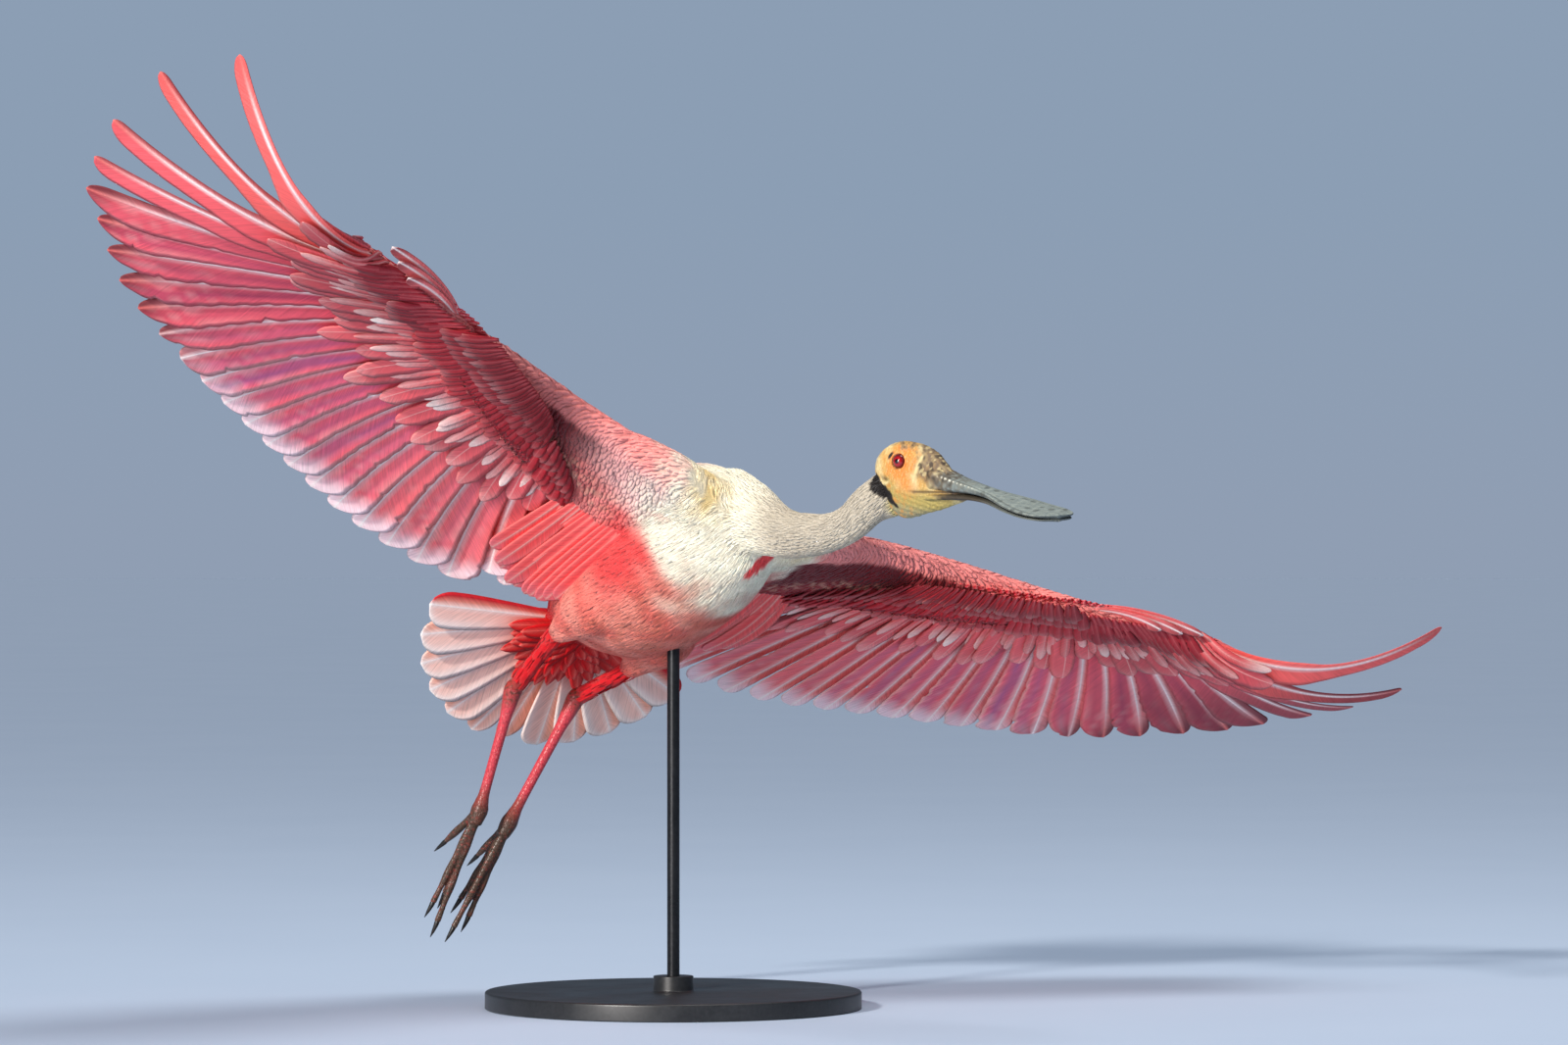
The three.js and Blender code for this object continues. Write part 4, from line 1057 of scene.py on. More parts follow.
def legTint(p, name):
    # red shank and tarsus, mottled ankle, dark foot, from the place along the leg
    leg = {key: np.array(value, float) for key, value in legs[name].items()}
    n1, n2 = ripple(p, 9, 51), ripple(p, 3.2, 52)
    ankle = np.linalg.norm(p - leg["ankle"], axis=1)
    along = unit(leg["joint"] - leg["ankle"])
    down = (p - leg["joint"]) @ along
    c = legColours
    above = (p - leg["ankle"]) @ along < 0
    tint = np.where(above[:, None], c["shank"], c["tarsus"])
    tint = blend(tint, c["ankle"], (1 - smooth(9, 19, ankle + 2 * n1)) * (0.65 + 0.35 * np.clip(n2, -1, 1)))
    tint = blend(tint, c["dark"], (1 - smooth(7, 16, ankle)) * smooth(0.4, 0.9, n2) * 0.7)
    tint = blend(tint, c["knuckle"], smooth(-26, -10, down + 4 * n1))
    foot = smooth(-14, 4, down + 3 * n1)
    tint = blend(tint, blend(c["foot"], c["web"], smooth(0.0, 0.8, n1)), foot)
    tint = blend(tint, c["knuckle"], foot * smooth(0.5, 1.0, n2) * 0.6)
    return np.clip(tint * (1 + 0.08 * n2[:, None]), 0, 1)


def buildLegSkin(name):
    # the leg's tubes grown into one skin
    return fused("leg" + name, legParts(name), 1.0, 4)


def buildClaws():
    # curved horn points just past each toe's end
    points, faceSets, offset = [], [], 0
    for name in legs:
        for toe in toes:
            start, end = toeEnd(name, toe)
            along = unit(end - start)
            t = np.linspace(0, 1, 18)
            out = -3 + 15.5 * t
            drop = -3.4 * np.clip(t - 0.3, 0, 1) ** 1.6
            path = end + along * out[:, None] + np.stack([drop, 0 * t, 0 * t], 1)
            radius = np.interp(t, [0, 0.25, 0.7, 1], [1.5, 2.1, 1.3, 0.25])
            rings = ringTube(path, radius, radius, 14)
            faces = rightSideOut(rings.reshape(-1, 3), stripFaces(1, 18, 14))
            points.append(rings.reshape(-1, 3))
            faceSets += [part + offset for part in faces]
            offset += rings.shape[0] * rings.shape[1]
    return np.concatenate(points), faceSets


stand = {
    "baseRadius": 150, "baseHeight": 14, "bevel": 2, "collarRadius": 16, "collarHeight": 12,
    "rodRadius": 5, "rodBottom": 6.3, "rodTop": 322, "gap": 0.3,
}


def lathe(name, outline, sides, material):
    # outline of [radius, height] turned about the room's vertical axis, in millimetres
    outline = np.array(outline, float)
    angle = np.linspace(0, 2 * np.pi, sides, endpoint=False)
    ring = np.stack([np.cos(angle), np.sin(angle), np.zeros(sides)], 1)
    room = outline[:, None, :1] * ring[None] + np.array([0, 0, 1.0]) * outline[:, None, 1:]
    points = toBody(room.reshape(-1, 3) / 1000)
    piece = makeObject(name, points, stripFaces(1, len(outline), sides), [material])
    piece.data.set_sharp_from_angle(angle=np.radians(40))
    return piece


def rounded(corner, into, out, radius, steps=5):
    # quarter-like bend of points round a corner between two straight runs
    corner, into, out = (np.array(v, float) for v in (corner, into, out))
    t = np.linspace(0, 1, steps)[:, None]
    a = corner + unit(into - corner) * radius
    b = corner + unit(out - corner) * radius
    return ((1 - t) ** 2 * a + 2 * t * (1 - t) * corner + t**2 * b).tolist()


def buildStand():
    # the disc with its collar and the rod, both turned about one axis
    s = stand
    r, h, c, ch = s["baseRadius"], s["baseHeight"], s["collarRadius"], s["baseHeight"] + s["collarHeight"]
    hole = s["rodRadius"] + s["gap"]
    outline = [[0.5, 0], [r - 1, 0], [r, 0.8]] + rounded((r, h), (r, 0), (0, h), s["bevel"])
    outline += rounded((c, h), (r, h), (c, ch), 1.2) + rounded((c, ch), (c, h), (0, ch), 1.0)
    outline += [[hole, ch], [hole, s["rodBottom"] - 0.3], [0.5, s["rodBottom"] - 0.3]]
    base = lathe("standDisc", outline, 160, standMaterial("standLacquer", 0.38, 0.0))
    rodOutline = [[0.3, s["rodBottom"]], [s["rodRadius"], s["rodBottom"]]]
    rodOutline += rounded((s["rodRadius"], s["rodTop"]), (s["rodRadius"], 0), (0, s["rodTop"]), 1.0)
    rodOutline += [[0.3, s["rodTop"]]]
    rod = lathe("standPost", rodOutline, 64, standMaterial("standSteel", 0.3, 0.6))
    settle(base, "stand", "stand_base")
    settle(rod, "stand", "stand_rod")


wing = {
    "roots": [[-5, 8, 88, 10], [0, 68, 178, 20], [11, 138, 302, 17], [12, 147, 316, 17], [21, 176, 420, 22]],
    "tips": [
        [-4, -88, 48, -7], [-2, -106, 76, -4], [-1, -104, 93, -1], [0, -134, 112, 2], [3, -127, 206, 7],
        [6, -103, 294, 17], [9, -71, 380, 24], [12, -34, 468, 32], [14, -7, 525, 43], [16, 42, 580, 50],
        [17, 61, 604, 57], [18, 99, 623, 57], [19, 138, 634, 59], [20, 196, 634, 62], [21, 266, 612, 67],
    ],
    "flex": [[0, 0], [18, 0], [19, 6], [20, 16], [21, 0]],
    "lift": [[-4, 6], [10, 7], [14, 2], [17, -8], [19, -18], [21, -31]],
    "swing": [[-4, 4], [6, 9], [12, 7], [17, 3], [21, -8]],
    "tilt": 9.0,
}


def featherRoot(i):
    # place of the i-th feather's root, straight between the keys
    keys = np.array(wing["roots"], float)
    return np.stack([np.interp(i, keys[:, 0], keys[:, k]) for k in (1, 2, 3)], -1)


def shaftPoint(i, u, side):
    # straight from root to tip, bowed forward and up in the middle by 4u(1-u)
    i = np.asarray(i, float)
    root, tip = featherRoot(i), through(wing["tips"], i)
    tip[..., 2] -= side * through(wing["flex"], np.maximum(i, 0))
    forward = unit(np.stack([tip[..., 1] - root[..., 1], root[..., 0] - tip[..., 0], np.zeros_like(i)], -1))
    bow = (4 * u * (1 - u))[..., None]
    point = root + (tip - root) * u[..., None] + forward * bow * through(wing["swing"], i)[..., None]
    point[..., 2] += bow[..., 0] * through(wing["lift"], i)
    return point


def wingFrame(i, u, side):
    # at each place: the point, the way to the leading edge, the normal, and the room between shafts
    i, u = np.broadcast_arrays(np.asarray(i, float), np.asarray(u, float))
    step = 0.02
    after, before = shaftPoint(i, np.minimum(u + step, 1), side), shaftPoint(i, np.maximum(u - step, 0), side)
    along = unit(after - before)
    high, low = np.minimum(i + 0.5, 21), np.maximum(i - 0.5, -4)
    across = shaftPoint(high, u, side) - shaftPoint(low, u, side)
    across = across - along * (across * along).sum(-1, keepdims=True)
    room = np.linalg.norm(across, axis=-1) / (high - low)
    across = unit(across)
    upward = np.cross(across, along)
    lean = np.radians(wing["tilt"])
    lead = across * np.cos(lean) + upward * np.sin(lean)
    normal = upward * np.cos(lean) - across * np.sin(lean)
    return shaftPoint(i, u, side), lead, normal, room


fullColumns = np.array([-1, -0.8, -0.52, -0.24, -0.05, 0, 0.09, 0.4, 0.75, 1.0])
plainColumns = np.array([-1, -0.6, -0.08, 0, 0.1, 0.6, 1.0])


def blades(centre, lead, normal, outer, inner, columns=fullColumns, thick=0.5, camber=1.6, ridge=0.55):
    # feathers as closed blades: lens-shaped across, edges bent down by camber, a ridge along the shaft
    ring = np.concatenate([columns, columns[-2:0:-1]])
    face = np.concatenate([np.ones(len(columns)), -np.ones(len(columns) - 2)])
    reach = np.where(ring >= 0, outer[..., None], inner[..., None]) * ring
    run = np.linspace(0, 1, centre.shape[1])[None, :, None]
    lift = face * thick / 2 * np.sqrt(1 - ring**2) - camber * (reach / 20) ** 2
    lift = lift + face * ridge * (1 - 0.75 * run) * np.exp(-((reach / 0.8) ** 2)) * (np.abs(ring) < 0.99)
    points = centre[:, :, None] + lead[:, :, None] * reach[..., None] + normal[:, :, None] * lift[..., None]
    steps = np.linalg.norm(np.diff(centre, axis=1), axis=2)
    length = np.concatenate([np.zeros((len(centre), 1)), np.cumsum(steps, 1)], 1)
    return {"points": points, "ring": ring, "reach": reach, "face": face, "length": length}


def featherPiece(name, batch, tint, slot, side=1, material=None, bake="strips", roots=None, nodes=()):
    # one object from a batch of blades, with its colour, its barb map and its bake map
    points = batch["points"].copy()
    points[..., 1] *= side
    count, stations, ring = points.shape[:3]
    offset = (np.arange(count) * 53.7)[:, None, None]
    along = np.broadcast_to(batch["length"][..., None] + offset, batch["reach"].shape)
    share = batch["length"][..., None] / batch["length"][:, -1:, None]
    share = np.broadcast_to(share, batch["reach"].shape)
    across = np.broadcast_to(batch["ring"], batch["reach"].shape)
    if bake == "strips":
        bakeU = (np.arange(count)[:, None, None] + 0.5 + 0.42 * across) / count
        bakeV = 0.01 + 0.98 * share
    else:
        place = roots[:, None, None]
        bakeU = place[..., 0] + 0.003 * (0.5 + 0.5 * across)
        bakeV = place[..., 1] + 0.003 * share
    maps = {
        "Vane": np.stack([batch["reach"], along], -1).reshape(-1, 2),
        "OFBake": np.stack([bakeU, bakeV], -1).reshape(-1, 2),
    }
    tint = np.clip(np.broadcast_to(tint, points.shape), 0, 1).reshape(-1, 3)
    piece = makeObject(name, points.reshape(-1, 3), stripFaces(count, stations, ring),
                       [material or flightMaterial], tint, maps)
    return settle(piece, slot, *nodes)


def shaftMark(batch, tint, colour, width=0.85, fade=0.0):
    # the pale shaft drawn along each blade's middle
    run = np.linspace(0, 1, batch["points"].shape[1])[None, :, None]
    share = np.exp(-((batch["reach"] / width) ** 2)) * (1 - fade * run)
    return blend(tint, colour, share)


def roundedEnd(u, start):
    # 1 up to start, then a quarter circle down to 0 at the tip
    return np.sqrt(np.clip(1 - (np.clip(u - start, 0, 1) / (1 - start)) ** 2, 0, 1))


def flightFeathers(side):
    # tertials, secondaries and primaries: webs fill the room between shafts, the outer four are slotted
    draw = np.random.default_rng(5 if side > 0 else 6)
    i = np.arange(-4, 22)[:, None].astype(float)
    u = np.concatenate([np.linspace(0, 0.8, 52), np.linspace(0.8, 1, 30)[1:]])[None]
    centre, lead, normal, room = wingFrame(i, u, side)
    primary, slotted = i >= 12, i >= 18
    rise = through([[0, 0.25], [0.08, 0.45], [0.25, 0.82], [0.5, 0.97], [0.8, 1], [1, 1]], u)
    outer = np.minimum(0.5 * room, np.where(primary, 8.5, 10.5)) * rise
    inner = np.minimum(0.88 * room, 24) * rise
    outer = outer * roundedEnd(u, np.where(primary, 0.93, 0.955))
    inner = inner * roundedEnd(u, np.where(primary, 0.8, 0.925)) ** np.where(primary, 1.4, 1)
    slotOuter = through([[0, 0.25], [0.2, 0.75], [0.42, 1], [0.55, 0.65], [0.8, 0.55], [1, 0.5]], u) * 7.5
    keys = [[0, 0.25], [0.2, 0.8], [0.44, 1], [0.52, 0.8], [0.62, 0.6], [0.85, 0.5], [1, 0.4]]
    slotInner = through(keys, u) * 19
    slotInner = slotInner * (1 + 0.55 * np.clip(20 - i, 0, 2) / 2 * smooth(0.4, 0.6, u))
    outer = np.where(slotted, slotOuter * roundedEnd(u, 0.965), outer)
    inner = np.where(slotted, slotInner * roundedEnd(u, 0.93), inner)
    # splits between barbs: narrow notches in the inner web, more on the primaries
    for cut in range(2):
        at = draw.uniform(0.5, 0.97, i.shape)
        depth = draw.uniform(0.0, 0.16, i.shape) * np.where(slotted, 0.2, 1)
        span = draw.uniform(0.008, 0.016, i.shape)
        slope = np.where(u > at, 3.0, 0.8)
        inner = inner * (1 - depth * np.exp(-((u - at) * slope / span) ** 2))
    wobble = 0.03 * np.sin(u * 90 + draw.uniform(0, 6, i.shape)) * draw.uniform(0, 1, i.shape)
    wobble = wobble * np.where(slotted, 0.2, 1)
    inner = np.maximum(inner * (1 + wobble), 0.35)
    outer = np.maximum(outer * (1 + 0.5 * wobble), 0.35)
    batch = blades(centre, lead, normal, outer, inner, camber=0.9)
    full = np.ones_like(batch["reach"])
    w, run, feather = batch["ring"] * full, u[..., None] * full, i[..., None] * full
    primary, slotted = smooth(11, 13, feather), smooth(16.5, 18.5, feather)
    inward, outward = smooth(0.03, 0.16, -w), smooth(0.02, 0.1, w)
    tint = blend(plumage["wing"], plumage["rose"], smooth(0.1, 0.6, run))
    # mauve band down the inner web, wavering, pink again at the edge
    waver = 0.1 * np.sin(run * 7 + feather * 1.9) + 0.05 * np.sin(run * 23 + feather * 4.1)
    band = np.exp(-((w + 0.52 + waver) / 0.27) ** 2) * smooth(0.15, 0.5, run) * (1 - slotted)
    strength = 0.6 + 0.35 * np.sin(feather * 2.3) * np.cos(feather * 0.9) - 0.3 * (1 - smooth(2, 8, feather))
    tint = blend(tint, blend(plumage["mauve"], sRgb(170, 60, 92), primary), band * strength)
    tint = blend(tint, plumage["strip"], outward * smooth(0.15, 0.45, run) * 0.85)
    rim = smooth(0.8, 1.0, -w) * smooth(0.3, 0.7, run) * (1 - primary)
    tint = blend(tint, plumage["paleTip"], 0.5 * rim)
    tint = blend(tint, sRgb(252, 104, 98), 0.85 * slotted * (0.35 + 0.65 * smooth(19, 20, feather)))
    tint = blend(tint, sRgb(248, 124, 116), (1 - smooth(1, 8, feather)) * (0.7 - 0.3 * inward))
    streak = np.sin(w * 9 + run * 23 + 3 * np.sin(run * 11 + feather * 2.1)) * smooth(0.4, 0.9, run)
    tint = blend(tint, plumage["paleTip"], 0.2 * smooth(0.2, 1.0, streak) * (1 - slotted))
    pale = smooth(0.88, 1.0, run + 0.05 * np.abs(w)) * (1 - smooth(8, 12.5, feather))
    tint = blend(tint, sRgb(250, 224, 228), 0.85 * pale)
    dusk = smooth(0.84, 1.0, run + 0.06 * w) * smooth(9.5, 12.5, feather) * (1 - 0.7 * slotted)
    tint = blend(tint, plumage["maroon"], dusk * 0.9)
    edge = outward * smooth(0.25, 0.5, w) * smooth(0.3, 0.5, run) * smooth(14, 17.5, feather)
    tint = blend(tint, plumage["maroon"], edge * (1 - smooth(20.2, 21, feather)) * 0.7)
    shaft = blend(plumage["shaft"], sRgb(226, 106, 100), smooth(0.7, 1, run) * primary)
    # painted shade: the left wing's outer primaries darkened towards maroon
    if side > 0:
        shaded = smooth(12.5, 16, feather) * (1 - smooth(20.2, 20.8, feather)) * smooth(0.25, 0.8, run)
        tint = blend(tint, sRgb(110, 10, 36), 0.7 * shaded)
    tint = shaftMark(batch, tint, shaft, 1.15)
    mood = 1 + 0.07 * draw.uniform(-1, 1, (len(i), 1, 1, 1))
    return batch, tint * mood


def wingRow(i, side, start, stop, outer, inner, rootOffset, offset, seed, stations=15):
    # a row of coverts lying over the flight feathers' roots, offset along the normal (below is negative)
    draw = np.random.default_rng(seed)
    i = np.asarray(i, float)[:, None] + draw.uniform(-0.12, 0.12, (len(i), 1))
    i = np.clip(i, -4, 21)
    stop = stop * (1 + 0.09 * np.sin(i * 1.7 + seed))
    t = np.sin(np.linspace(0, 1, stations) * np.pi / 2)[None] ** 1.15
    stop = stop * (1 + draw.uniform(-0.07, 0.07, i.shape))
    u = np.clip(start + (stop - start) * t, 0, 1)
    under = start + (stop - start) * t
    centre, lead, normal, _ = wingFrame(i, u, side)
    # before the root of the flight feather the row runs on along its line
    before = np.minimum(under, 0)[..., None]
    first = shaftPoint(i, np.full_like(t, 0.1), side) - shaftPoint(i, np.zeros_like(t), side)
    centre = centre + first * 10 * before
    centre = centre + normal * (rootOffset + (offset - rootOffset) * np.minimum(2.2 * t, 1))[..., None]
    turn = draw.normal(0, 0.05, i.shape)[..., None]
    length = np.linalg.norm(centre[:, -1:] - centre[:, :1], axis=-1, keepdims=True)
    centre = centre + lead * turn * t[..., None] * length
    profile = through([[0, 0.3], [0.3, 0.8], [0.65, 1], [0.85, 0.92], [1, 0.75]], t) * roundedEnd(t, 0.86)
    profile = np.maximum(profile * (1 + 0.05 * np.sin(t * 40 + draw.uniform(0, 6, i.shape))), 0.05)
    size = draw.uniform(0.88, 1.1, i.shape)
    outer, inner = outer * profile * size, inner * profile * size
    batch = blades(centre, lead, normal, outer, inner, plainColumns, 0.45, 1.0, 0.35)
    return batch, t[..., None], draw.uniform(-1, 1, i.shape)[..., None]


def covertTint(batch, run, base, tip, tipStart, mood, shaft, strength=0.85):
    # base colour with a paler tip and edge and a pale shaft
    w = np.abs(batch["ring"])
    tint = np.broadcast_to(base, batch["points"].shape)
    share = smooth(tipStart, 1.0, run + 0.05 * w) * strength
    tint = blend(tint, tip, np.broadcast_to(share, batch["reach"].shape))
    edge = 0.35 * strength * smooth(0.5, 1, w) * smooth(0.3, 1, run)
    tint = blend(tint, tip, np.broadcast_to(edge, batch["reach"].shape))
    tint = shaftMark(batch, tint, blend(tint, shaft, np.full(batch["reach"].shape, 0.45)), 0.45)
    return tint * (1 + 0.1 * mood[..., None])


def joinBatches(batches):
    # several batches of like blades as one
    return {
        "points": np.concatenate([b["points"] for b in batches]), "ring": batches[0]["ring"],
        "reach": np.concatenate([b["reach"] for b in batches]), "face": batches[0]["face"],
        "length": np.concatenate([b["length"] for b in batches]),
    }


def buildWing(side):
    # flight feathers, six rows of coverts below them and four above
    label = sideName(side)
    batch, tint = flightFeathers(side)
    featherPiece("flightFeathers_" + label, batch, tint, "wing_feathers", side, nodes=("wing_" + label,))
    rows, tints = [], []
    tip, shaft = sRgb(254, 230, 220), sRgb(248, 206, 196)
    # rows nearer the forearm are darker: their own crimson deepened by painted shade of the hollow under the
    # forearm
    under = [
        # step, from, to, outer, inner, root offset, offset, tip start, colour, share of pale ones
        (1.0, 0.0, (0.46, 0.38), 7.5, 12.5, -3.6, -7.0, 0.8, sRgb(232, 92, 98), 0.35),
        (0.6, -0.02, (0.33, 0.27), 4.2, 5.4, -4.8, -8.6, 0.6, sRgb(228, 80, 84), 1.15 if side > 0 else 1.5),
        (0.5, -0.05, (0.2, 0.17), 5.0, 5.6, -5.4, -8.4, 0.72, sRgb(210, 46, 56), 0.5),
        (0.44, 0.0, (0.17, 0.14), 5.0, 5.4, -6.4, -10.4, 0.72, sRgb(178, 26, 40), 0.22),
        (0.44, -0.07, (0.07, 0.06), 5.0, 5.4, -6.6, -9.8, 0.66, sRgb(160, 22, 36), 0.22),
        (0.44, -0.13, (0.02, 0.02), 5.0, 5.4, -7.2, -10.0, 0.62, sRgb(140, 20, 32), 0.25),
    ]
    for k, (step, start, stops, *widths, tipStart, colour, share) in enumerate(under):
        i = np.arange(-3.6, (21.2, 21.0, 20.4, 15.5, 12.6, 12.2)[k], step)
        stop = np.where(i < 12, *stops)[:, None]
        row, run, mood = wingRow(i, side, start, stop, *widths, 70 + k + side)
        rows.append(row)
        hand = smooth(11, 14, i)[:, None, None, None] * (0.75 if k > 1 else 0.3)
        cluster = smooth(-0.3, 0.7, np.sin(i * 0.9 + 2 * k) + np.sin(i * 0.37 + k))
        cluster = cluster * (1 - 0.5 * smooth(11, 14, i))
        pale = np.minimum(share * (0.45 + 0.55 * cluster) * draws(i, 80 + k) ** 0.5, 1.1)[:, None, None]
        quill = shaft if k < 2 else sRgb(214, 110, 112)
        base = blend(colour, sRgb(122, 14, 32), hand[..., 0])
        tints.append(covertTint(row, run, base, tip, tipStart, mood, quill, 0.9 * pale))
    featherPiece("underCoverts_" + label, joinBatches(rows), np.concatenate(tints), "wing_feathers", side)
    rows, tints = [], []
    over = [
        (1.0, 0.0, (0.5, 0.42), 9, 14, 2.8, 4.6, sRgb(238, 112, 118)),
        (0.8, -0.03, (0.34, 0.3), 7.5, 10, 3.6, 5.8, sRgb(240, 116, 120)),
        (0.6, -0.05, (0.22, 0.2), 6, 7.5, 4.4, 6.8, sRgb(224, 72, 88)),
        (0.45, -0.06, (0.12, 0.12), 5, 6, 5.0, 7.6, plumage["carmine"]),
    ]
    for k, (step, start, stops, *widths, colour) in enumerate(over):
        i = np.arange(-3.6, 21.2, step)
        stop = np.where(i < 12, *stops)[:, None]
        row, run, mood = wingRow(i, side, start, stop, *widths, 90 + k + side)
        rows.append(row)
        tints.append(covertTint(row, run, colour, sRgb(244, 190, 184), 0.8, mood, shaft, 0.6))
    featherPiece("upperCoverts_" + label, joinBatches(rows), np.concatenate(tints), "wing_feathers", side)
    print("wing:", label)


def draws(i, seed):
    # one random share of 0..1 for each of i
    return np.random.default_rng(seed).uniform(0, 1, np.shape(i))


def freeBlades(root, tip, up, outer, inner, bow, sweep, lead=1, tilt=9.0, stations=22,
               columns=fullColumns, profile=None, thick=0.45, camber=1.4, ridge=0.45):
    # feathers between given roots and tips: bow lifts the middle along up, sweep moves it sideways
    t = np.linspace(0, 1, stations)[None]
    along = unit(tip - root)[:, None]
    up = unit(up - along[:, 0] * (up * along[:, 0]).sum(-1, keepdims=True))[:, None]
    across = np.cross(up, along) * np.reshape(lead, (-1, 1, 1))
    arc = (4 * t * (1 - t))[..., None]
    centre = root[:, None] + (tip - root)[:, None] * t[..., None]
    centre = centre + up * arc * bow + across * arc * sweep
    lean = np.radians(tilt)
    leading = across * np.cos(lean) + up * np.sin(lean)
    normal = up * np.cos(lean) - across * np.sin(lean)
    keys = profile or [[0, 0.3], [0.25, 0.75], [0.6, 1], [0.85, 0.95], [1, 0.85]]
    shape = np.maximum(through(keys, t) * roundedEnd(t, 0.86), 0.03)
    leading, normal = (np.broadcast_to(v, centre.shape) for v in (leading, normal))
    outer, inner = (np.broadcast_to(v, len(root))[:, None] * shape for v in (outer, inner))
    return blades(centre, leading, normal, outer, inner, columns, thick, camber, ridge), t[..., None]


tail = {
    "count": 12, "length": 126, "from": 8, "spread": 75, "droop": 26, "roll": 3, "centre": (-104, 0, -8),
    "profile": [[0, 0.3], [0.3, 0.62], [0.7, 0.96], [0.88, 1.0], [1, 0.95]],
    "covertProfile": [[0, 0.5], [0.3, 0.9], [0.6, 1], [0.85, 0.7], [1, 0.3]],
}


def tailFrame(turn):
    # directions of a tail feather turned from the middle line within the fan's plane
    droop, roll = np.radians([tail["droop"], tail["roll"]])
    back = np.array([-np.cos(droop), 0, -np.sin(droop)])
    sideways = np.array([0, np.cos(roll), np.sin(roll)])
    upward = np.cross(back, sideways)
    upward = unit(-upward if upward[2] < 0 else upward)
    turn = np.asarray(turn, float)[:, None]
    return back * np.cos(turn) + sideways * np.sin(turn), upward


def fanBlades(turns, outward, start, stop, outer, inner, offset, lift, **extra):
    # feathers spread about the tail's centre, one for each turn, from start to stop millimetres out
    along, upward = tailFrame(turns)
    centre = np.array(tail["centre"], float) + upward * (offset + np.reshape(lift, (-1, 1)))
    start, stop = (np.reshape(np.broadcast_to(v, len(turns)), (-1, 1)) for v in (start, stop))
    root, tip = centre + along * start, centre + along * stop
    up = np.broadcast_to(upward, root.shape)
    lead = np.where(np.cross(up, along)[:, 1] * outward < 0, -1, 1)
    return freeBlades(root, tip, up, outer, inner, 0.0, 0.0, lead, **extra)


alula = {
    "root": (158, 326, 22), "step": (-3, -2, -1.6), "left": [(189, 415, 15), (182, 398, 13), (176, 380, 12)],
    "right": [(198, 419, 19), (189, 406, 16), (180, 390, 13)],
    "half": 7.5,
}


def buildAlula(side):
    # three stiff feathers on the thumb, along the hand's leading edge
    a = alula
    label = sideName(side)
    count = np.arange(3)[:, None]
    root = np.array(a["root"], float) + np.array(a["step"], float) * count
    tip = np.array(a[label], float)
    up = np.broadcast_to(np.array([0, 0, 1.0]), root.shape)
    batch, run = freeBlades(root, tip, up, a["half"] * 0.6, a["half"], 3.0, 3.0,
                            lead=-1, tilt=10, stations=26)
    tint = np.broadcast_to(sRgb(236, 110, 110), batch["points"].shape)
    tint = blend(tint, plumage["maroon"], smooth(0.7, 1.0, run) * 0.7)
    tint = shaftMark(batch, tint, plumage["shaft"], 0.7)
    featherPiece("alula_" + label, batch, tint, "wing_feathers", side)


legFeathers = {"count": 90, "reach": 0.62, "length": 24.0, "width": 5.0, "radius": 6.5}


def buildLegFeathers():
    # scarlet feathers lying down the shank from the thigh nearly to the ankle
    f = legFeathers
    roots, tips, ups = [], [], []
    for seed, name in enumerate(legs):
        leg = {key: np.array(value, float) for key, value in legs[name].items()}
        draw = np.random.default_rng(150 + seed)
        t = draw.uniform(-0.35, f["reach"], f["count"])
        axis = unit(leg["ankle"] - leg["shin"])
        first = unit(np.cross(axis, (0, 1.0, 0)))
        second = np.cross(axis, first)
        turn = draw.uniform(0, 2 * np.pi, f["count"])[:, None]
        out = first * np.cos(turn) + second * np.sin(turn)
        thick = (f["radius"] + 4.0 * np.clip(-t, 0, 1))[:, None]
        root = leg["shin"] + (leg["ankle"] - leg["shin"]) * t[:, None] + out * (thick - 1.5)
        length = f["length"] * draw.uniform(0.75, 1.15, (f["count"], 1))
        roots.append(root)
        tips.append(root + axis * length + out * draw.uniform(-0.5, 1.6, (f["count"], 1)))
        ups.append(out)
    half = f["width"] / 2
    roots, tips, ups = (np.concatenate(v) for v in (roots, tips, ups))
    batch, run = freeBlades(roots, tips, ups, half, half, 1.2, 0.0, tilt=0, stations=8,
                            columns=plainColumns, thick=0.25, camber=3.0, ridge=0.15)
    mood = np.random.default_rng(153).uniform(0.8, 1.25, (len(run), 1, 1, 1))
    tint = np.broadcast_to(sRgb(184, 14, 24), batch["points"].shape) * mood
    tint = blend(tint, sRgb(220, 70, 66), smooth(0.6, 1.0, run) * 0.35)
    featherPiece("legFeathers", batch, tint, "body_feathers", material=softMaterial)


